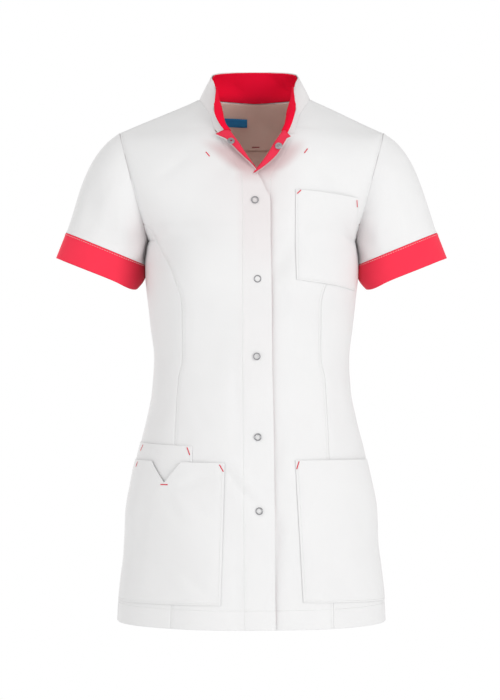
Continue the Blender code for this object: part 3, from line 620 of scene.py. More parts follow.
def form_point(face, s, z):
    """The smooth form's point, evened out over the start of the armhole."""
    point = smooth_point(face, s, z)
    point[1] += AWAY[face] * settle(face, point, z)
    return point


def ridges(rows, point):
    """How far the soft ridges and dips of a table move this point out."""
    height = 0.0
    for x, z, lean_angle, half_length, half_width, peak in rows:
        angle = math.radians(lean_angle)
        dx = point[0] - x
        dz = point[2] - z
        across = (dx * math.cos(angle) - dz * math.sin(angle)) / half_width
        along = (dx * math.sin(angle) + dz * math.cos(angle)) / half_length
        if across * across + along * along < RIDGE_REACH**2:
            height += peak * math.exp(-across * across - along * along)
    return height


def uneven(face, point):
    """The small unevenness of hanging cloth, which fades out towards the neck."""
    height = 0.0
    for size, peak in (UNEVEN_LARGE, UNEVEN_SMALL):
        height += peak * noise.noise(Vector((point[0] / size, UNEVEN_DEPTH[face], point[2] / size)))
    return height * (1 - ease(*UNEVEN_END, point[2]))


def relief(face, point):
    """How far the cloth at this point of the form lies out from it."""
    return ridges(RELIEF[face], point) + ridges(CREASES[face], point) + uneven(face, point)


def lean(point):
    """The neck's small shift to the wearer's left, which fades out down the chest and the shoulders."""
    amount = ease(*NECK_SHIFT_Z, point[2]) * (1 - ease(*NECK_SHIFT_X, abs(point[0])))
    return point + np.array((NECK_SHIFT * amount, 0, 0))


def outward(face, s, z):
    """The form's outward direction, from places a little beside, below and above."""
    step = SLOPE_S if abs(s) < 1 - 2.5 * SLOPE_S else -SLOPE_S
    across = form_point(face, s + math.copysign(step, s), z) - form_point(face, s, z)
    across = across * math.copysign(1, s) * math.copysign(1, step)
    low = max(z - SLOPE_Z, HEM_Z)
    high = min(z + SLOPE_Z, 0)
    if z < UNDERARM_Z and abs(s) > SIDE_S:
        high = min(high, UNDERARM_Z)
    up = form_point(face, s, high) - form_point(face, s, low)
    normal = unit(np.cross(across, up))
    if normal[1] * AWAY[face] < 0 and abs(s) < SIDE_S:
        normal = -normal
    if face == "back":
        normal = normal if np.dot(normal, smooth_point(face, s, z) * (1, 1, 0)) > 0 else -normal
    return normal


def body(face, s, z, out=0.0):
    """A point of the body, moved out by some millimetres."""
    point = form_point(face, s, z)
    return lean(point + outward(face, s, z) * (relief(face, point) + out))


def body_at(face, x, z, out=0.0):
    """The body's point at this x and height, moved out by some millimetres."""
    return body(face, s_at(face, x, z), z, out)


def s_short_of_seam(face, side, z, gap):
    """The s that lies this far short of the side seam, armhole or shoulder seam."""
    step = 0.01
    length = np.linalg.norm(smooth_point(face, 1, z) - smooth_point(face, 1 - step, z))
    return side * (1 - step * gap / length)


def underlap(side, x, z):
    """How far the left front lies further in where the right one laps over it."""
    if side < 0:
        return 0.0
    return -UNDERLAP * (1 - ease(*UNDERLAP_X, x)) * (1 - ease(*UNDERLAP_Z, z))


# Rows and columns

def spaced(low, high, step):
    """Even heights from low up to high, without the last."""
    count = max(1, round((high - low) / step))
    return [low + (high - low) * k / count for k in range(count)]


HEM_ROWS = [HEM_Z + up for up in (0, 0.8, 2.0, 5, 10, 16, 21, 24.6, HEM_STITCH, 27.4, 31)]
HEM_STITCH_ROW = HEM_ROWS.index(HEM_Z + HEM_STITCH)
LOW_ROWS = HEM_ROWS + spaced(-682, -228, 5.2) + spaced(-228, UNDERARM_Z, 4)
UNDERARM_ROWS = [UNDERARM_Z, -195.4, -194, -192, -189, -185.5, PRINCESS_LAST]
CHEST_ROWS = [-177.5, PRINCESS_TOP, -169] + spaced(-165, FLAT_Z, 3.6)
LAPEL_ROWS = [
    *spaced(FLAT_Z, -104, 1.0), *spaced(-104, LAPEL_DROP_FROM, 2.2), *spaced(LAPEL_DROP_FROM, -55.2, 1.8),
    -55.2, LAPEL_TOP,
]
SHOULDER_ROWS = [-52.4, -50.6, -48.8, SHOULDER_Z] + spaced(-45.5, -4, 2.4) + [-4, -2.6, -1.3]
FRONT_ROWS = LOW_ROWS + UNDERARM_ROWS + CHEST_ROWS + LAPEL_ROWS + SHOULDER_ROWS
SIDE_ROWS = LOW_ROWS + UNDERARM_ROWS + [-179.5, -176.5, PRINCESS_TOP - 1.6]
BACK_ROWS = FRONT_ROWS + [-0.5, 0]


def columns_between(length, count, near_start, near_end):
    """Distances along a row: the ones given for its start and its end, closer together on a short row, and
    even steps between."""
    squeeze = min(1.0, NEAR_LIMIT * length / (near_start[-1] + near_end[-1] + GAP))
    first = [distance * squeeze for distance in near_start]
    last = [length - distance * squeeze for distance in reversed(near_end)]
    return [*first, *np.linspace(first[-1], last[0], count + 1)[1:-1], *last]


def roll(distance):
    """How far cloth turns in at this distance from a seam."""
    return -SEAM_ROLL * (1 - ease(0, SEAM_ROLL_WIDTH, distance))


def groove(distance):
    """How far cloth sinks at this distance from a stitched line."""
    return -GROOVE * math.exp(-((distance / GROOVE_HALF) ** 2))


def along_row(face, s_from, s_to, z):
    """Places along a row: their s, and how far each one lies from the row's start."""
    values = np.linspace(s_from, s_to, ROW_PLACES)
    points = [smooth_point(face, s, z) for s in values]
    steps = [np.linalg.norm(after - before) for before, after in zip(points, points[1:])]
    return values, np.concatenate(([0.0], np.cumsum(steps)))


def panel_points(side, z, row, distances, sink):
    """Points of the front at these distances along a row; sink gives how far each one lies in."""
    values, lengths = row
    points = []
    for distance in distances:
        s = float(np.interp(distance, lengths, values))
        x = smooth_point("front", s, z)[0]
        points.append(body("front", s, z, underlap(side, x, z) + sink(distance, lengths[-1])))
    return points


# Fronts and facings. The grids run from the wearer's right to the left, so that they face out.

def lapel_widths(side, z, trim):
    """Distances beyond the roll line of the columns between it and the edge."""
    total = beyond(side, z) - trim
    curl = min(total * LAPEL_CURL, LAPEL_RADIUS * LAPEL_TURN)
    widths = [curl * (k + 1) / CURL_COLUMNS for k in range(CURL_COLUMNS)]
    return widths + [curl + (total - curl) * part for part in LAPEL_FLAT]


def beyond(side, z):
    """The width of cloth beyond the roll line."""
    return EDGE("beyond_right" if side < 0 else "beyond_left", z)


def lapel_point(side, z, width):
    """A point of the front beyond its roll line; above the V it turns out and back."""
    line_x = EDGE("closing", z) + side * EDGE("roll", z)
    if z <= FLAT_Z:
        x = line_x - side * width
        return body_at("front", x, z, underlap(side, x, z))
    s = s_at("front", line_x, z)
    start = body("front", s, z, underlap(side, line_x, z))
    ahead = body("front", s - side * AHEAD_S, z, underlap(side, line_x, z))
    toward = unit(ahead - start)
    out = outward("front", s, z)
    opened = ease(FLAT_Z, LAPEL_OPEN_Z[side], z)
    turn = min(width / LAPEL_RADIUS, LAPEL_TURN) * opened
    rest = width - LAPEL_RADIUS * turn
    along = LAPEL_RADIUS * math.sin(turn) + rest * math.cos(turn)
    away = LAPEL_RADIUS * (1 - math.cos(turn)) + rest * math.sin(turn)
    return start + toward * along + out * away


def lapel_columns(side, z, trim=0.0):
    """From beyond the roll line to the edge; trim leaves out the outermost part of the width."""
    widths = lapel_widths(side, z, trim)
    points = [lapel_point(side, z, width) for width in widths]
    if z > LAPEL_DROP_FROM:
        part = (z - LAPEL_DROP_FROM) / (LAPEL_TOP - LAPEL_DROP_FROM)
        places = (0, widths[CURL_COLUMNS - 1], widths[NOTCH_COLUMN - 1], widths[-1])
        for point, width in zip(points, widths):
            point[2] -= part * np.interp(width, places, (0, 0, *LAPEL_DROP[side]))
    return points


def facing_line(z):
    """How far outside the closing line the facing ends."""
    return EDGE("roll", z) + EDGE("facing", z)


def facing_columns(side, z, stitched=False):
    """From the line where the facing ends to the roll line."""
    closing = EDGE("closing", z)
    s_from = s_at("front", closing + side * facing_line(z), z)
    s_to = s_at("front", closing + side * EDGE("roll", z), z)
    row = along_row("front", s_from, s_to, z)
    distances = columns_between(row[1][-1], FACING_COLUMNS, NEAR_FACING, (0,))

    def sink(distance, _):
        return groove(distance) if stitched else 0.0

    return panel_points(side, z, row, distances, sink)


def princess_half(z):
    """The princess seam, which runs straight near the armhole."""
    if z <= PRINCESS_LAST:
        return PRINCESS("half", z)
    corner = seam_point("front", PRINCESS_TOP)[0]
    start = PRINCESS("half", PRINCESS_LAST)
    return start + (corner - start) * (z - PRINCESS_LAST) / (PRINCESS_TOP - PRINCESS_LAST)


def main_columns(side, z):
    """The front from its princess seam, armhole or shoulder seam to the facing line or the neck seam."""
    if z < PRINCESS_TOP:
        s_from = s_at("front", side * (princess_half(z) - GAP), z)
    elif z < SHOULDER_Z:
        s_from = s_short_of_seam("front", side, z, GAP)
    else:
        s_from = s_short_of_seam("front", side, z, RIDGE_GAP)
    stitched = z <= LAPEL_TOP
    x = EDGE("closing", z) + side * facing_line(z) if stitched else side * NECK("half", z)
    s_to = s_at("front", x, z)
    row = along_row("front", s_from, s_to, z)
    distances = columns_between(row[1][-1], MAIN_COLUMNS, NEAR_STITCH, (*NEAR_FACING, 4))

    def sink(distance, whole):
        line = groove(whole - distance) if stitched else 0.0
        return roll(distance) + groove(distance - STITCH_AT) + line

    return panel_points(side, z, row, distances, sink)


def facing_outwards(rows, side):
    """The rows from the wearer's right to the left."""
    return [row if side < 0 else row[::-1] for row in rows]


def hem_sunk(rows, heights):
    """The rows, with the hem's stitched line drawn in."""
    for row, z in zip(rows, heights):
        depth = groove(z - HEM_Z - HEM_STITCH)
        if depth < -GROOVE_LEAST:
            for point in row:
                point += unit(point * (1, 1, 0)) * depth
    return rows


def front_blocks(side):
    main = hem_sunk([main_columns(side, z) for z in FRONT_ROWS], FRONT_ROWS)
    low_rows = [z for z in FRONT_ROWS if z <= LAPEL_TOP]
    inner = hem_sunk([facing_columns(side, z, True) + lapel_columns(side, z) for z in low_rows], low_rows)
    for row_main, row_inner in zip(main, inner):
        row_inner[0] = row_main[-1]
    return [facing_outwards(main, side), facing_outwards(inner, side)]


def facing_grid(side):
    """The facing's rows, moved in from the front's own points."""
    low_rows = [z for z in FRONT_ROWS if HEM_Z + FACING_HEM <= z <= LAPEL_TOP]
    rows = [facing_columns(side, z) + lapel_columns(side, z, FACING_SHORT) for z in low_rows]
    return moved(facing_outwards(rows, side), -LAYER)


def side_sink(distance, whole):
    """How far a side front lies in, from the side seam to the princess seam."""
    return SIDE_ROLL * roll(distance) + roll(whole - distance)


def side_grid(side):
    rows = []
    for z in SIDE_ROWS:
        s_from = s_short_of_seam("front", side, z, GAP / 2)
        s_to = s_at("front", side * (princess_half(z) + GAP), z)
        row = along_row("front", s_from, s_to, z)
        distances = columns_between(row[1][-1], SIDE_COLUMNS, NEAR_EDGE, NEAR_EDGE)
        rows.append(panel_points(side, z, row, distances, side_sink))
    return facing_outwards(hem_sunk(rows, SIDE_ROWS), side)


def back_row(z, part=1.0, stitched=True):
    """The back from one seam to the other, or the middle part of it."""
    limit = s_short_of_seam("back", 1, z, RIDGE_GAP if z >= SHOULDER_Z else GAP) * part
    values, lengths = along_row("back", limit, -limit, z)
    length = lengths[-1]
    near = NEAR_STITCH if stitched else NEAR_PLAIN
    distances = columns_between(length, BACK_COLUMNS, near, near)
    points = []
    for distance in distances:
        s = float(np.interp(distance, lengths, values))
        edge = min(distance, length - distance)
        sink = roll(edge) + groove(edge - STITCH_AT) if stitched else 0.0
        points.append(body("back", s, z, sink))
    return points


def back_grid():
    return hem_sunk([back_row(z) for z in BACK_ROWS], BACK_ROWS)


def back_facing_grid():
    """The upper rows of the back, without its outermost parts, moved in."""
    rows = [back_row(z, BACK_FACING_PART, False) for z in BACK_ROWS if z >= BACK_FACING_LOW]
    return moved(rows, -LAYER)


# Collar

def collar_seam(side):
    """The neck seam from the notch on the lapel, round the roll and up to the centre back."""
    inner = lapel_columns(side, LAPEL_TOP)[:NOTCH_COLUMN][::-1]
    inner += facing_columns(side, LAPEL_TOP)[::-1][1:]
    inner += [body_at("front", side * NECK("half", z), z) for z in spaced(SHOULDER_Z, -3, 2)]
    corner = seam_point("back", 0)[0]
    inner.append(lean(np.array((side * corner, NECK_Y, 0.0))))
    for k in range(COLLAR_BACK_STEPS - 1, -1, -1):
        inner.append(body("back", side * k / COLLAR_BACK_STEPS, 0))
    return inner


def collar_point(side, level, along):
    """The collar's point this part of the way round, at one of its table's two levels."""
    x, y, z = (COLLAR(f"{level}_{axis}", along) for axis in "xyz")
    return lean(np.array((side * x, y, z)))


def collar_grid():
    """From the wearer's right notch round the back to the left one, each row from seam to top."""
    halves = {}
    for side in (-1, 1):
        seam = collar_seam(side)
        lengths = [0.0]
        for before, after in zip(seam, seam[1:]):
            lengths.append(lengths[-1] + np.linalg.norm(after - before))
        columns = []
        for point, length in zip(seam, lengths):
            along = length / lengths[-1]
            mid, top = (collar_point(side, level, along) for level in ("mid", "top"))
            base = point + unit(mid - point) * COLLAR_CLEAR
            columns.append([
                base * (1 - v) * (1 - 2 * v) + mid * 4 * v * (1 - v) + top * v * (2 * v - 1)
                for v in COLLAR_PARTS
            ])
        halves[side] = columns
    columns = halves[1][:-1] + halves[-1][::-1]
    grid = np.array([[column[k] for column in columns] for k in range(len(COLLAR_PARTS))])
    for row, normals, part in zip(grid, grid_normals(grid), COLLAR_PARTS):
        for point, normal in zip(row, normals):
            point += normal * ridges(CREASES["collar"], point) * ease(0, COLLAR_CREASES_FROM, part)
    return grid


# Sleeves

def armhole_point(side, angle):
    """angle runs from 0 at the underarm over the front to pi at the shoulder and back behind."""
    middle = (UNDERARM_Z + SHOULDER_Z) / 2
    z = middle - (SHOULDER_Z - UNDERARM_Z) / 2 * math.cos(angle)
    z = min(max(z, UNDERARM_Z + INSIDE_END), SHOULDER_Z - INSIDE_END)
    face = "front" if math.sin(angle) > 0 else "back"
    return body(face, side, z)


def section_point(side, name, angle):
    """A point of one of the sleeve's sections, with the angle as for armhole_point."""
    inner_x, inner_z, outer_x, outer_z, half_depth = SECTION[name]
    part = (1 - math.cos(angle)) / 2
    x = inner_x + (outer_x - inner_x) * part
    z = inner_z + (outer_z - inner_z) * part
    return np.array((side * x, SLEEVE_DEPTH_SHIFT - half_depth * math.sin(angle), z))


def sleeve_angles():
    return [2 * math.pi * k / SLEEVE_COLUMNS for k in range(SLEEVE_COLUMNS)]


def sleeve_crease(side, angle, down):
    """How far the creases move this point of a sleeve out."""
    height = 0.0
    degrees = math.degrees(angle)
    for place, at, half_angle, half_down, slant, peak in SLEEVE_CREASES:
        shift = (degrees - place - slant * SLEEVE_LEAN * (down - at) + 180) % 360 - 180
        across = shift / half_angle
        along = (down - at) / half_down
        height += peak * math.exp(-across * across - along * along)
    return height * (1 if side < 0 else SLEEVE_LEFT_CREASES)


def round_noise(side, angle, rate, apart, height):
    """Slow changes round a sleeve or cuff, different on the two sides."""
    return noise.noise(Vector((rate * math.cos(angle) + apart * side, rate * math.sin(angle), height)))


def sleeve_grid(side):
    rows = [[] for _ in SLEEVE_PARTS]
    for angle in sleeve_angles():
        up = (1 - math.cos(angle)) / 2
        leave_x, leave_z = between(*SLEEVE_LEAVE, up)
        arrive_x, arrive_z = between(*SLEEVE_ARRIVE, up)
        leave = np.array((side * leave_x, -SLEEVE_BULGE * math.sin(angle), leave_z))
        arrive = np.array((side * arrive_x, 0.0, arrive_z))
        start = armhole_point(side, angle) + unit(leave) * SLEEVE_CLEAR
        start = start + np.array((side * UNDERARM_CLEAR * (1 - up) ** 2, 0, 0))
        end = section_point(side, "cuff_top", angle)
        for t, row in zip(SLEEVE_PARTS, rows):
            row.append(sum(weight * part for weight, part in zip(hermite(t), (start, leave, end, arrive))))
    normals = grid_normals(rows, True) * side
    for t, row, row_normals in zip(SLEEVE_PARTS, rows, normals):
        inner = ease(0, SLEEVE_PLAIN[0], t) * (1 - ease(SLEEVE_PLAIN[1], 1, t))
        seam = -SLEEVE_ROLL[0] * (1 - ease(0, SLEEVE_ROLL[1], t))
        seam -= SLEEVE_END_ROLL[0] * ease(SLEEVE_END_ROLL[1], 1, t)
        for k, angle in enumerate(sleeve_angles()):
            soft = round_noise(side, angle, *SLEEVE_NOISE, SLEEVE_NOISE[0] * t)
            height = sleeve_crease(side, angle, t) * inner + seam + SLEEVE_UNEVEN * soft * inner
            row[k] = row[k] + row_normals[k] * height
    return facing_outwards(rows[::-1], -side)


def cuff_grid(side):
    rows = [[] for _ in CUFF_PARTS]
    inner = np.array((side * CUFF_INNER[0], 0, CUFF_INNER[1]))
    pull = inner - (section_point(side, "cuff_top", 0) + section_point(side, "hem", 0)) / 2
    pull[1] = 0
    for angle in sleeve_angles():
        start = section_point(side, "cuff_top", angle)
        end = section_point(side, "hem", angle)
        start = start + unit(end - start) * (GAP + CUFF_CLEAR)
        near = max(0.0, math.cos(angle)) ** 2
        degrees = abs((math.degrees(angle) + 180) % 360 - 180)
        sag = CUFF_SAG * math.exp(-(((degrees - CUFF_SAG_AT) / CUFF_SAG_HALF) ** 2))
        end[2] -= sag - CUFF_LIFT * math.exp(-((degrees / CUFF_SAG_HALF) ** 2))
        soft = round_noise(side, angle, *CUFF_NOISE)
        away = np.array((-side * math.cos(angle), -math.sin(angle), 0.0))
        for t, row in zip(CUFF_PARTS, rows):
            row.append(start * (1 - t) + end * t + pull * near * 4 * t * (1 - t) + away * soft * t)
    normals = grid_normals(rows, True) * side
    for t, row, row_normals in zip(CUFF_PARTS, rows, normals):
        across = (t - CUFF_PARTS[CUFF_STITCH_ROW]) / CUFF_GROOVE[1]
        for k in range(len(row)):
            row[k] = row[k] - row_normals[k] * CUFF_GROOVE[0] * math.exp(-across * across)
    return facing_outwards(rows[::-1], -side)


# Pockets and label

def pocket_columns(length, breaks=()):
    """Parts of a pocket's width: close together at its sides, even between, and at any breaks."""
    parts = [side / length for side in POCKET_SIDE]
    parts += [1 - side / length for side in POCKET_SIDE]
    count = round(length / POCKET_STEP)
    for k in range(1, count):
        part = k / count
        if all(abs(part - other) > POCKET_SPARE / count for other in (*parts, *breaks)):
            parts.append(part)
    return sorted({*parts, *breaks})


def pocket_edge(low, high, z):
    """The s of a side of a pocket at this height, on the wearer's left."""
    if low[0] is TO_SIDE:
        return AT_SIDE
    part = (z - low[1]) / (high[1] - low[1])
    return s_at("front", low[0] + (high[0] - low[0]) * part, z)


def pocket_grid(name, lift=None, breaks=(), notch=None):
    """A patch over the front. lift gives how much further out it lies, as a function of the way out (u)
    and up (v), and notch how far its top edge is cut down at u."""
    side, (bottom_in, bottom_out, top_out, top_in), gape, (width, height) = POCKETS[name]
    grid = []
    for v in pocket_columns(height):
        row = []
        for u in pocket_columns(width, breaks):
            z_low = bottom_in[1] + (bottom_out[1] - bottom_in[1]) * u
            z_high = top_in[1] + (top_out[1] - top_in[1]) * u
            if notch:
                z_high -= notch(u)
            z = z_low + (z_high - z_low) * v
            inner = pocket_edge(bottom_in, top_in, z)
            outer = pocket_edge(bottom_out, top_out, z)
            out = POCKET_LIFT + gape * v**3 * math.sin(math.pi * u)
            if top_out[0] is TO_SIDE:
                out -= POCKET_AT_SIDE * ease(NEAR_SIDE, 1, u)
            if lift:
                out += lift(u, v)
            edge = min(u * width, (1 - u) * width, v * height)
            out += groove(edge - POCKET_STITCH_AT) - POCKET_TURN * (1 - ease(0, POCKET_STITCH_AT, edge))
            row.append(body("front", side * (inner + (outer - inner) * u), z, out))
        grid.append(row)
    return facing_outwards(grid, -side)


def over_small(u, v):
    """How much further out the right hip pocket lies where the small one is beneath it."""
    flat = 1 - ease(NEAR_SIDE, 1, u)
    over = OVER_SMALL * (1 - OVER_LESS + OVER_LESS * flat) * ease(*OVER_ACROSS, u) * ease(*OVER_UP, v)
    return over + OVER_TOP * v * flat


def notch_depth(u):
    """The V in the top edge of the right hip pocket."""
    return float(np.interp(u, NOTCH, (0, NOTCH_DEPTH, 0)))


def label_grid():
    x_from, x_to, z_from, z_to = LABEL
    depth = -(LAYER + FACING_WALL / 2 + LABEL_WALL / 2 + LABEL_CLEAR)
    return [
        [body_at("back", x, z, depth) for x in np.linspace(x_to, x_from, LABEL_COLUMNS)]
        for z in np.linspace(z_from, z_to, LABEL_ROWS)
    ]


# Meshes

def grid_normals(grid, closed=False):
    """Outward normals of a grid of points, from the points around each one."""
    points = np.array(grid)
    if closed:
        across = np.roll(points, -1, 1) - np.roll(points, 1, 1)
    else:
        across = np.empty_like(points)
        across[:, 1:-1] = points[:, 2:] - points[:, :-2]
        across[:, 0] = points[:, 1] - points[:, 0]
        across[:, -1] = points[:, -1] - points[:, -2]
    up = np.empty_like(points)
    up[1:-1] = points[2:] - points[:-2]
    up[0] = points[1] - points[0]
    up[-1] = points[-1] - points[-2]
    normals = np.cross(across, up)
    return normals / np.maximum(np.linalg.norm(normals, axis=2, keepdims=True), TINY)


def moved(grid, distance, closed=False):
    """The grid moved out along its normals."""
    return np.array(grid) + grid_normals(grid, closed) * distance


def flat_lengths(points, closed):
    """For each point of a grid, how far along the cloth it lies, across and up, in millimetres."""
    if closed:
        points = np.concatenate([points, points[:, :1]], axis=1)
    u = np.zeros(points.shape[:2])
    v = np.zeros(points.shape[:2])
    u[:, 1:] = np.cumsum(np.linalg.norm(np.diff(points, axis=1), axis=2), axis=1)
    v[1:] = np.cumsum(np.linalg.norm(np.diff(points, axis=0), axis=2), axis=0)
    u -= u[:, -1:] / 2
    return u, v


MERGE = 0.004           # points closer than this become one
SNAP_MERGE = 0.002      # and on a snap

TUNIC = bpy.data.collections.new("medical_tunic_looks")
bpy.context.scene.collection.children.link(TUNIC)


def place(name, mesh, looks):
    """A finished piece: it goes with the tunic, takes the material of its looks, is shaded smooth and hangs
    from the root.
    """
    material, slot = LOOKS[looks]
    piece = bpy.data.objects.new(name, mesh)
    TUNIC.objects.link(piece)
    mesh.materials.append(material)
    mesh.shade_smooth()
    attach(piece, "root")
    return piece


def finished(shape, name, looks):
    """The closed shape as a piece, with its faces turned out."""
    bmesh.ops.recalc_face_normals(shape, faces=shape.faces)
    mesh = bpy.data.meshes.new(name)
    shape.to_mesh(mesh)
    shape.free()
    return place(name, mesh, looks)


def cloth(node, blocks, wall, looks, closed=False, tint=None, inside=None, name=None):
    """A wall of cloth through grids of points that share edges, with its flat lengths as texture
    coordinates and, where tint is given, how strongly each point is tinted."""
    name = name or f"{node}_cloth"
    shape = bmesh.new()
    uv_layer = shape.loops.layers.uv.new("cloth")
    tint_layer = shape.verts.layers.float.new("tint")
    for grid in blocks:
        points = np.array(grid)
        u, v = flat_lengths(points, closed)
        verts = []
        for row in points:
            verts.append([shape.verts.new(point * MM) for point in row])
            if tint:
                for vert, point in zip(verts[-1], row):
                    vert[tint_layer] = tint(point)
        columns = points.shape[1]
        for i in range(len(points) - 1):
            for j in range(columns if closed else columns - 1):
                k = (j + 1) % columns
                new = shape.faces.new((verts[i][j], verts[i][k], verts[i + 1][k], verts[i + 1][j]))
                corners = ((i, j), (i, j + 1), (i + 1, j + 1), (i + 1, j))
                for loop, (row, column) in zip(new.loops, corners):
                    loop[uv_layer].uv = (u[row, column] * MM, v[row, column] * MM)
    bmesh.ops.remove_doubles(shape, verts=shape.verts, dist=MERGE * MM)
    mesh = bpy.data.meshes.new(name)
    shape.to_mesh(mesh)
    shape.free()
    piece = place(name, mesh, looks)
    solid = piece.modifiers.new("wall", "SOLIDIFY")
    solid.thickness = wall * MM
    solid.offset = 0
    if inside:
        mesh.materials.append(LOOKS[inside][0])
        solid.material_offset = 1
    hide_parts(node)
    width, length, area = CUTS.get(node) or CUTS[node.rpartition("_")[0]]
    return piece


def thread(shape, start, end, normal, half_width, height):
    """One stitch: a small long grain of thread on the cloth."""
    along = end - start
    length = np.linalg.norm(along)
    along = along / max(length, TINY)
    across = unit(np.cross(normal, along))
    rings = []
    for part in THREAD_PARTS:
        centre = start + along * length * part
        rings.append([
            shape.verts.new((centre + across * half_width) * MM),
            shape.verts.new((centre + normal * height) * MM),
            shape.verts.new((centre - across * half_width) * MM),
            shape.verts.new((centre - normal * height * THREAD_UNDER) * MM),
        ])
    ends = [shape.verts.new(tip * MM) for tip in (start, end)]
    for k in range(4):
        nxt = (k + 1) % 4
        shape.faces.new((rings[0][k], rings[0][nxt], rings[1][nxt], rings[1][k]))
        shape.faces.new((ends[0], rings[0][nxt], rings[0][k]))
        shape.faces.new((ends[1], rings[1][k], rings[1][nxt]))


def along_path(points, normals, at, lengths):
    """The point and the outward normal this far along a path."""
    i = min(int(np.searchsorted(lengths, at, side="right")) - 1, len(points) - 2)
    step = lengths[i + 1] - lengths[i]
    t = 0.0 if step < TINY else (at - lengths[i]) / step
    return points[i] + (points[i + 1] - points[i]) * t, unit(normals[i] + (normals[i + 1] - normals[i]) * t)


def stitches(node, paths, looks="white_thread"):
    """Rows of stitches along paths, each a pair of points and their outward normals."""
    shape = bmesh.new()
    length, space = STITCH
    for points, normals in paths:
        points = np.array(points)
        normals = np.array(normals)
        steps = np.linalg.norm(np.diff(points, axis=0), axis=1)
        lengths = np.concatenate([[0.0], np.cumsum(steps)])
        at = STITCH_START
        while at + length < lengths[-1]:
            start, _ = along_path(points, normals, at, lengths)
            _, normal = along_path(points, normals, at + length / 2, lengths)
            end, _ = along_path(points, normals, at + length, lengths)
            thread(shape, start, end, normal, THREAD, THREAD)
            at += length + space
    finished(shape, f"{node}_stitches", looks)


def bar_tack(name, start, end, normal, looks):
    """Close stitches side by side across a short line."""
    shape = bmesh.new()
    length = np.linalg.norm(end - start)
    along = (end - start) / length
    across = unit(np.cross(normal, along)) * TACK_HALF
    slant = along * TACK_STEP * TACK_SLANT
    count = int(length / TACK_STEP)
    for k in range(count + 1):
        centre = start + along * (k * length / count)
        thread(shape, centre - across - slant, centre + across + slant, normal, *TACK_THREAD)
    thread(shape, start, end, normal, *TACK_PADDING)
    finished(shape, name, looks)


def on_grid(grid, place_at, wall, inside=False):
    """The point of a grid's face above this x and z, and its outward normal."""
    points = np.array(grid)
    away = (points[:, :, 0] - place_at[0]) ** 2 + (points[:, :, 2] - place_at[1]) ** 2
    nearest = np.unravel_index(np.argmin(away), away.shape)
    normal = grid_normals(grid)[nearest] * (-1 if inside else 1)
    point = points[nearest]
    dx = place_at[0] - point[0]
    dz = place_at[1] - point[2]
    point = point + np.array((dx, -(normal[0] * dx + normal[2] * dz) / normal[1], dz))
    return point + normal * (wall / 2 + THREAD), normal


def path_of(grid, closed=False, row=None, column=None, wall=WALL):
    """A row or column of a grid as a path on the cloth's outer face."""
    normals = grid_normals(grid, closed)
    on_face = np.array(grid) + normals * (wall / 2 + THREAD * THREAD_OUT)
    if column is not None:
        return on_face[:, column], normals[:, column]
    chosen = on_face[row], normals[row]
    if closed:
        chosen = tuple(np.concatenate([part, part[:1]]) for part in chosen)
    return chosen


# Materials

THREAD_SHADE = 0.88     # the darkest a thread gets, as a part of its colour
METAL = (0.44, 0.44, 0.46)
METAL_SHADE = (0.24, 0.24, 0.25)


def add_node(tree, kind, **settings):
    """A new node; each setting goes to its input of that name, or else to its property."""
    made = tree.nodes.new(kind)
    for key, value in settings.items():
        if key in made.inputs:
            made.inputs[key].default_value = value
        else:
            setattr(made, key, value)
    return made


def new_material(name):
    """A new material with its tree of nodes and its shader."""
    material = bpy.data.materials.new(name)
    material.use_nodes = True
    tree = material.node_tree
    return material, tree, tree.nodes["Principled BSDF"]


def noise_texture(tree, place_on, scale, detail, **settings):
    """What a noise texture gives at these places."""
    made = add_node(tree, "ShaderNodeTexNoise", Scale=scale, Detail=detail, **settings)
    tree.links.new(place_on, made.inputs["Vector"])
    return made.outputs["Fac"]


def mixed(tree, factor, first, second, **settings):
    """Two colours mixed. Each of them, and the factor, is a value or comes from another node."""
    made = add_node(tree, "ShaderNodeMix", data_type="RGBA", **settings)
    for key, value in (("Factor", factor), (6, first), (7, second)):
        if isinstance(value, bpy.types.NodeSocket):
            tree.links.new(value, made.inputs[key])
        else:
            made.inputs[key].default_value = value if key == "Factor" else (*value, 1)
    return made.outputs[2]


def ranged(tree, source, low, high):
    """What comes from a node, from 0 to 1, spread from low to high."""
    made = add_node(tree, "ShaderNodeMapRange")
    made.inputs["To Min"].default_value = low
    made.inputs["To Max"].default_value = high
    tree.links.new(source, made.inputs["Value"])
    return made.outputs["Result"]


def finish_shader(tree, shader, colour, rough, height, strength, distance):
    """Feeds the shader's colour and roughness, and its bump from this height."""
    bump = add_node(tree, "ShaderNodeBump", Strength=strength, Distance=distance)
    tree.links.new(height, bump.inputs["Height"])
    tree.links.new(bump.outputs["Normal"], shader.inputs["Normal"])
    tree.links.new(colour, shader.inputs["Base Color"])
    tree.links.new(rough, shader.inputs["Roughness"])


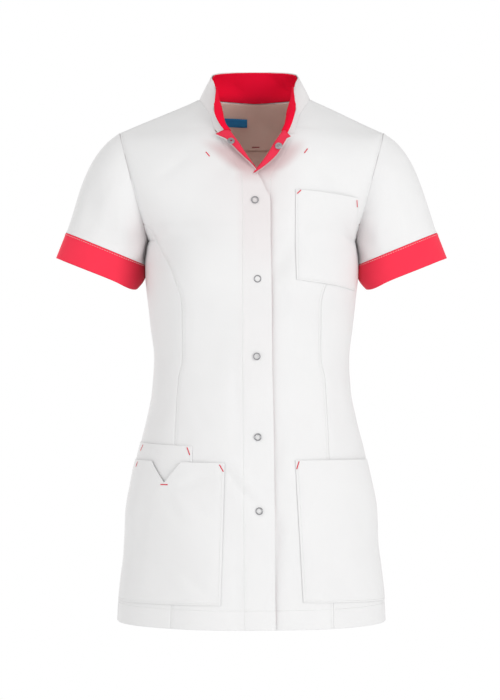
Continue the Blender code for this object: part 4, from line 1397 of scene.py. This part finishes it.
def twill(name, colour, shade, tint_colour=None, sheen=0.2, relief_strength=0.35, specular=0.25):
    """Woven cloth: slanting twill lines and slubs as bump, soft changes of colour, and a dull sheen."""
    material, tree, shader = new_material(name)
    shader.inputs["Sheen Weight"].default_value = sheen
    shader.inputs["Sheen Roughness"].default_value = 0.45
    shader.inputs["Specular IOR Level"].default_value = specular
    place_on = add_node(tree, "ShaderNodeUVMap", uv_map="cloth").outputs["UV"]
    lines = add_node(tree, "ShaderNodeTexWave", wave_type="BANDS", bands_direction="DIAGONAL", Scale=480.0,
                     Distortion=1.2, Detail=1.0)
    lines.inputs["Detail Scale"].default_value = 2.0
    tree.links.new(place_on, lines.inputs["Vector"])
    slubs = noise_texture(tree, place_on, 520.0, 3.0, Roughness=0.6)
    clouds = noise_texture(tree, place_on, 14.0, 2.0, Roughness=0.5)
    mix = add_node(tree, "ShaderNodeMix", data_type="FLOAT")
    mix.inputs["Factor"].default_value = 0.4
    tree.links.new(lines.outputs["Fac"], mix.inputs["A"])
    tree.links.new(slubs, mix.inputs["B"])
    weave = mix.outputs["Result"]
    base = mixed(tree, clouds, colour, shade)
    result = mixed(tree, 1.0, base, ranged(tree, weave, 0.955, 1.0), blend_type="MULTIPLY")
    # where a piece carries the tint attribute, its colour is mixed towards the tint colour: painted shade
    # and painted reflections of the red pieces, and on the fronts also the red facing showing through
    if tint_colour:
        amount = add_node(tree, "ShaderNodeAttribute", attribute_name="tint")
        result = mixed(tree, amount.outputs["Fac"], result, tint_colour)
    finish_shader(tree, shader, result, ranged(tree, slubs, 0.78, 0.92), weave, relief_strength, 0.0004)
    return material


def thread_material(name, colour):
    """Sewing thread: a slight shine and small changes of shade along it."""
    material, tree, shader = new_material(name)
    shader.inputs["Sheen Weight"].default_value = 0.1
    place_on = add_node(tree, "ShaderNodeTexCoord").outputs["Object"]
    fuzz = noise_texture(tree, place_on, 900.0, 2.0)
    result = mixed(tree, fuzz, [part * THREAD_SHADE for part in colour], colour)
    finish_shader(tree, shader, result, ranged(tree, fuzz, 0.5, 0.72), fuzz, 0.3, 0.0002)
    return material


def metal_material(name):
    """Nickel-plated brass, a little dull, with fine scratches."""
    material, tree, shader = new_material(name)
    shader.inputs["Metallic"].default_value = 1.0
    place_on = add_node(tree, "ShaderNodeTexCoord").outputs["Object"]
    dull = noise_texture(tree, place_on, 420.0, 3.0)
    scratches = noise_texture(tree, place_on, 2600.0, 2.0)
    result = mixed(tree, dull, METAL_SHADE, METAL)
    finish_shader(tree, shader, result, ranged(tree, dull, 0.2, 0.42), scratches, 0.12, 0.0001)
    return material


# Snaps

def turned(name, profile, centre, normal):
    """A closed profile of (radius, height) points turned round the normal."""
    up = unit(normal)
    side = unit(np.cross(up, (0.0, 0.0, 1.0)))
    other = np.cross(up, side)
    shape = bmesh.new()
    rings = []
    for k in range(SNAP_SEGMENTS):
        angle = 2 * math.pi * k / SNAP_SEGMENTS
        away = side * math.cos(angle) + other * math.sin(angle)
        rings.append([
            shape.verts.new((centre + away * radius + up * height) * MM) for radius, height in profile
        ])
    for k in range(SNAP_SEGMENTS):
        nxt = rings[(k + 1) % SNAP_SEGMENTS]
        for i in range(len(profile)):
            j = (i + 1) % len(profile)
            shape.faces.new((rings[k][i], nxt[i], nxt[j], rings[k][j]))
    bmesh.ops.remove_doubles(shape, verts=shape.verts, dist=SNAP_MERGE * MM)
    return finished(shape, name, "metal")


# Profiles as radius and height. The rings are a little flattened.
RING_PROFILE = tuple(
    (SNAP_RADIUS + SNAP_WIRE * math.cos(angle), RING_FLAT * SNAP_WIRE * math.sin(angle))
    for angle in (math.radians(degrees) for degrees in range(0, 360, 30))
)
SOCKET_PROFILE = (
    (4.9, -0.7), (5.0, -0.3), (4.7, 0.2), (4.2, 0.45), (3.5, 0.5), (3.0, 0.3), (2.6, 0.35), (2.2, 0.75),
    (1.7, 0.8), (1.45, 0.5), (1.4, -0.3), (1.6, -0.7),
)
STUD_PROFILE = (
    (4.9, -0.7), (5.0, -0.3), (4.7, 0.2), (4.2, 0.42), (3.4, 0.42), (2.7, 0.2), (2.1, 0.25), (1.7, 0.7),
    (1.6, 1.3), (1.3, 1.6), (0.7, 1.7), (0.2, 1.7), (0.2, -0.7),
)


SNAP_PROFILES = {
    **{f"snap_{number}": RING_PROFILE for number in range(1, SNAPS + 1)},
    "lapel_snap_socket": SOCKET_PROFILE,
    "lapel_snap_stud": STUD_PROFILE,
}


def node_axis(name):
    """The middle of a ring-shaped node and the direction that it faces."""
    points = np.array([vert.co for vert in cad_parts[name].data.vertices]) / MM
    centre = (points.min(axis=0) + points.max(axis=0)) / 2
    _, _, axes = np.linalg.svd(points - points.mean(axis=0), full_matrices=False)
    normal = axes[2] if axes[2][1] < 0 else -axes[2]
    return centre, normal


# The whole tunic

WHITE = (0.84, 0.84, 0.845)
WHITE_SHADE = (0.80, 0.80, 0.805)
# pink mixed into the white cloth: on the fronts the red facing showing through, and elsewhere painted shade
# and painted reflections of the red pieces
PINK_SHOW_THROUGH_AND_PAINTED_LIGHT = (0.60, 0.41, 0.42)
INSIDE = (0.94, 0.73, 0.63)         # the inner cloth, in the warm light off the red pieces round it
INSIDE_SHADE = (0.84, 0.60, 0.51)
RED = (0.98, 0.038, 0.085)
RED_SHADE = (0.90, 0.030, 0.070)
# painted shade, mixed into the cuffs' inner ends and the low back of the collar's lining
RED_PAINTED_SHADE = (0.40, 0.005, 0.022)
FACING_RED = (0.85, 0.034, 0.083)
FACING_RED_SHADE = (0.78, 0.027, 0.069)
LINING = (0.93, 0.005, 0.042)
LINING_SHADE = (0.80, 0.004, 0.032)
BLUE = (0.03, 0.27, 0.60)
BLUE_SHADE = (0.025, 0.23, 0.53)

# Cut sizes in metres: width, length and area of the flat piece.
CUTS = {
    "back": (0.47, 0.80, 0.296),
    "back_neck_facing": (0.36, 0.09, 0.0246),
    "front_right": (0.166, 0.80, 0.110),
    "front_left": (0.154, 0.80, 0.098),
    "side_front": (0.136, 0.56, 0.0573),
    "front_facing": (0.045, 0.70, 0.0253),
    "sleeve": (0.436, 0.16, 0.0357),
    "cuff": (0.343, 0.037, 0.0123),
    "collar": (0.447, 0.055, 0.0141),
    "chest_pocket": (0.113, 0.142, 0.0140),
    "hip_pocket_left": (0.170, 0.195, 0.0319),
    "hip_pocket_right": (0.200, 0.195, 0.0363),
    "hip_pocket_right_small": (0.142, 0.131, 0.0177),
    "label": (0.033, 0.012, 0.00038),
}


# The tints, from 0 to 1: how strong each one is, and over which places it comes or goes. Apart from the red
# facing showing through the fronts near their edges, they are painted light: painted shade and painted
# reflections of the red pieces.
TINT_CHEST = 0.13
TINT_CHEST_Z = (-262, -190)
TINT_LOW = 0.04
TINT_LOW_Z = (-470, -320)
TINT_NEAR = (14, 30)        # from the closing line, less this part of the roll line's distance
TINT_ROLL = 0.4
TINT_WIDE = 0.07
TINT_WIDE_Z = (-240, -110)
TINT_WIDE_X = (26, 84)
TINT_LAPEL = 0.66
TINT_LAPEL_FROM = (-126, -98)
TINT_LAPEL_TO = (-80, -58)
TINT_LAPEL_IN = 4           # it is strongest this far inside the edge of the turned-out lapel
TINT_LAPEL_X = (9, 31)
TINT_COLLAR = (0.07, 0.06)  # all round, and more round this y
TINT_COLLAR_AT = -60
TINT_COLLAR_Y = (20, 60)
TINT_SLEEVE = 0.26
TINT_SLEEVE_X = (150, 178)
TINT_SLEEVE_Z = (-200, -140)
TINT_LINING = 0.5
TINT_LINING_Y = (10, 40)
TINT_LINING_Z = (2, 15)
TINT_CUFF = {-1: 0.84, 1: 0.3}
TINT_CUFF_X = (148, 188)


def front_show_through_and_painted_light(side):
    def tint(point):
        """The red facing shows through beside the edges at the chest, and less further down. Besides that,
        painted light: a painted shadow with a painted reflection of the red on the cloth under the lapels'
        edges, and a faint painted red reflection on the middle of the chest."""
        x, _, z = point
        from_line = abs(x - EDGE("closing", z))
        roll_line = EDGE("roll", z)
        chest = ease(*TINT_CHEST_Z, z)
        near = 1 - ease(*TINT_NEAR, from_line - TINT_ROLL * roll_line)
        strength = TINT_CHEST * chest + TINT_LOW * ease(*TINT_LOW_Z, z) * (1 - chest)
        wide = TINT_WIDE * ease(*TINT_WIDE_Z, z) * (1 - ease(*TINT_WIDE_X, abs(x)))
        off_lapel = abs(from_line - roll_line - beyond(side, z) + TINT_LAPEL_IN)
        lapel = ease(*TINT_LAPEL_FROM, z) * (1 - ease(*TINT_LAPEL_TO, z))
        return near * strength + wide + TINT_LAPEL * lapel * (1 - ease(*TINT_LAPEL_X, off_lapel))
    return tint


def collar_painted_light(point):
    """Painted light: a painted reflection of the lining's and the lapels' red on the collar, with a little
    painted shade, most near its front.
    """
    return TINT_COLLAR[0] + TINT_COLLAR[1] * (1 - ease(*TINT_COLLAR_Y, abs(point[1] - TINT_COLLAR_AT)))


def sleeve_painted_light(point):
    """Painted light: a painted reflection of the cuff's red, with painted shade, on the sleeve's inner side.
    """
    return TINT_SLEEVE * (1 - ease(*TINT_SLEEVE_X, abs(point[0]))) * (1 - ease(*TINT_SLEEVE_Z, point[2]))


def lining_painted_shade(point):
    """Painted shade: the collar's lining is darkest low down at the back, where it meets the facing."""
    return TINT_LINING * (1 - ease(*TINT_LINING_Z, point[2])) * ease(*TINT_LINING_Y, point[1])


def cuff_painted_shade(side):
    def tint(point):
        """Painted shade: the cuffs are darker towards their inner ends, where they turn away, above all the
        wearer's right one.
        """
        return TINT_CUFF[side] * (1 - ease(*TINT_CUFF_X, abs(point[0])))
    return tint


# Each material, with the name of a slot beside it, which the pieces don't take.
LOOKS = {
    "white": (twill("white_twill", WHITE, WHITE_SHADE, PINK_SHOW_THROUGH_AND_PAINTED_LIGHT), "white_cloth"),
    "plain_white": (twill("white_twill_plain", WHITE, WHITE_SHADE), "white_cloth"),
    "warm": (twill("inside_twill", INSIDE, INSIDE_SHADE), "white_cloth"),
    "red": (twill("red_twill", FACING_RED, FACING_RED_SHADE, sheen=0.06), "red_cloth"),
    "cuff": (twill("cuff_twill", RED, RED_SHADE, RED_PAINTED_SHADE, sheen=0.06), "red_cloth"),
    "lining": (
        twill("collar_lining_twill", LINING, LINING_SHADE, RED_PAINTED_SHADE, sheen=0.0, specular=0.08), "red_cloth"),
    "label": (twill("label_weave", BLUE, BLUE_SHADE, sheen=0.05, relief_strength=0.6), "label_cloth"),
    "white_thread": (thread_material("white_thread", (0.86, 0.86, 0.86)), "white_cloth"),
    "pale_thread": (thread_material("pale_thread", (0.88, 0.62, 0.60)), "white_cloth"),
    "red_thread": (thread_material("red_thread", (0.86, 0.05, 0.09)), "red_cloth"),
    "dark_thread": (thread_material("dark_red_thread", (0.42, 0.02, 0.04)), "red_cloth"),
    "metal": (metal_material("nickel"), "snap_metal"),
}


def dart_path(side):
    """The stitched line of a dart in the back."""
    heights = np.linspace(*DART_Z, DART_POINTS)
    points = [
        body_at("back", side * (DART_X + DART_SLANT * (z - DART_MIDDLE)), z, WALL / 2 + DART_OUT)
        for z in heights
    ]
    return points, [outward("back", s_at("back", side * DART_X, z), z) for z in heights]


def add_back():
    """The back and its neck facing. Returns the facing's grid."""
    back = back_grid()
    cloth("back", [back], WALL, "plain_white", inside="warm")
    paths = [path_of(back, row=HEM_STITCH_ROW)]
    for column in (STITCH_COLUMN, len(back[0]) - 1 - STITCH_COLUMN):
        paths.append(path_of(back, column=column))
    stitches("back", paths + [dart_path(side) for side in (-1, 1)])
    facing = back_facing_grid()
    cloth("back_neck_facing", [facing], FACING_WALL, "warm")
    return facing


def add_side(side, word):
    """The pieces that are there on both sides. Returns the front's main grid."""
    main, inner = front_blocks(side)
    cloth(f"front_{word}", [main, inner], WALL, "white", tint=front_show_through_and_painted_light(side))
    seam, edge = (STITCH_COLUMN, -1) if side < 0 else (len(main[0]) - 1 - STITCH_COLUMN, 0)
    low = [row for row, z in zip(main, FRONT_ROWS) if z <= FLAT_Z]
    stitches(f"front_{word}", [
        path_of(main, row=HEM_STITCH_ROW),
        path_of(inner, row=HEM_STITCH_ROW),
        path_of(main, column=seam),
        path_of(low, column=edge),
    ])
    sides = side_grid(side)
    cloth(f"side_front_{word}", [sides], WALL, "plain_white")
    stitches(f"side_front_{word}", [path_of(sides, row=HEM_STITCH_ROW)])
    cloth(f"front_facing_{word}", [facing_grid(side)], FACING_WALL, "red")
    cloth(f"sleeve_{word}", [sleeve_grid(side)], WALL, "white", closed=True, tint=sleeve_painted_light)
    cuff = cuff_grid(side)
    cloth(f"cuff_{word}", [cuff], CUFF_WALL, "cuff", closed=True, tint=cuff_painted_shade(side))
    row = len(cuff) - 1 - CUFF_STITCH_ROW
    stitches(f"cuff_{word}", [path_of(cuff, True, row=row, wall=CUFF_WALL)], "pale_thread")
    return main


def add_collar():
    collar = collar_grid()
    cloth("collar_outer", [collar], WALL, "white", tint=collar_painted_light)
    stitches("collar", [path_of(collar, row=COLLAR_STITCH_ROW)])
    cloth("collar_inner", [moved(collar, -COLLAR_LAYER)], FACING_WALL, "lining", tint=lining_painted_shade)


def add_pockets():
    """The pockets. Returns their grids."""
    pockets = {
        "chest_pocket": pocket_grid("chest_pocket"),
        "hip_pocket_left": pocket_grid("hip_pocket_left"),
        "hip_pocket_right_small": pocket_grid("hip_pocket_right_small"),
        "hip_pocket_right": pocket_grid("hip_pocket_right", over_small, NOTCH, notch_depth),
    }
    for name, grid in pockets.items():
        cloth(name, [grid], FACING_WALL, "plain_white")
        stitches(name, [
            path_of(grid, column=POCKET_STITCH, wall=FACING_WALL),
            path_of(grid, column=len(grid[0]) - 1 - POCKET_STITCH, wall=FACING_WALL),
            path_of(grid, row=POCKET_STITCH, wall=FACING_WALL),
        ])
    return pockets


def build():
    grids = {"inside": add_back()}
    for side, word in ((-1, "right"), (1, "left")):
        grids[f"front_{word}"] = add_side(side, word)
    add_collar()
    grids.update(add_pockets())
    cloth("label", [label_grid()], LABEL_WALL, "label",
          name="label_cloth_piece")
    for name, profile in SNAP_PROFILES.items():
        piece = turned(f"{name}_metal", profile, *node_axis(name))
        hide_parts(name)
    for name, base, start, end in TACKS:
        wall = WALL if base.startswith("front_") else FACING_WALL
        inside = base == "inside"
        first, normal = on_grid(grids[base], start, wall, inside)
        last, _ = on_grid(grids[base], end, wall, inside)
        bar_tack(name, first, last, normal, "dark_thread" if inside else "red_thread")


def area_light(name, place_at, aim, size, power):
    light = bpy.data.lights.new(name, "AREA")
    light.shape = "DISK"
    light.size = size
    light.energy = power
    lamp = bpy.data.objects.new(name, light)
    bpy.context.scene.collection.objects.link(lamp)
    lamp.location = place_at
    lamp.rotation_euler = (Vector(aim) - Vector(place_at)).to_track_quat("-Z", "Y").to_euler()


def studio():
    scene = bpy.context.scene
    scene.view_settings.view_transform = "Standard"
    world = bpy.data.worlds.new("studio")
    scene.world = world
    world.use_nodes = True
    tree = world.node_tree
    seen = tree.nodes["Background"]
    seen.inputs["Color"].default_value = (1, 1, 1, 1)
    seen.inputs["Strength"].default_value = 1.0
    soft = add_node(tree, "ShaderNodeBackground")
    soft.inputs["Color"].default_value = (1.0, 0.995, 0.985, 1)
    soft.inputs["Strength"].default_value = 0.73
    rays = add_node(tree, "ShaderNodeLightPath")
    mix = add_node(tree, "ShaderNodeMixShader")
    tree.links.new(rays.outputs["Is Camera Ray"], mix.inputs[0])
    tree.links.new(soft.outputs[0], mix.inputs[1])
    tree.links.new(seen.outputs[0], mix.inputs[2])
    tree.links.new(mix.outputs[0], tree.nodes["World Output"].inputs["Surface"])

    area_light("key", (2.1, -2.5, 0.1), (0, 0, -0.4), 1.6, 34.5)
    area_light("fill", (-2.4, -2.0, -0.2), (0, 0, -0.4), 1.8, 13)
    area_light("above", (-0.5, -1.5, 1.5), (0, 0, -0.1), 1.0, 2.5)
    area_light("behind", (-1.2, 3.0, 0.6), (0, 0, -0.35), 1.8, 34)

    camera = bpy.data.cameras.new("camera")
    camera.lens = 119.25
    camera.sensor_width = 36
    viewer = bpy.data.objects.new("camera", camera)
    scene.collection.objects.link(viewer)
    viewer.location = (-0.0021, -3.2, -0.3457)
    viewer.rotation_euler = (math.pi / 2, 0, 0)
    scene.camera = viewer

    bpy.ops.mesh.primitive_circle_add(vertices=96, radius=3.0, fill_type="NGON", location=(0, 0, -1.38))
    floor = bpy.context.object
    floor.name = "floor"
    paint, _, shader = new_material("floor_paint")
    shader.inputs["Base Color"].default_value = (0.9, 0.9, 0.9, 1)
    shader.inputs["Roughness"].default_value = 0.9
    floor.data.materials.append(paint)
    floor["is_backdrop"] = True


build()
studio()
boxes = {"cad": cad_box, "visual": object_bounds()}
{key: [list(map(float, corner)) for corner in box] for key, box in boxes.items()}
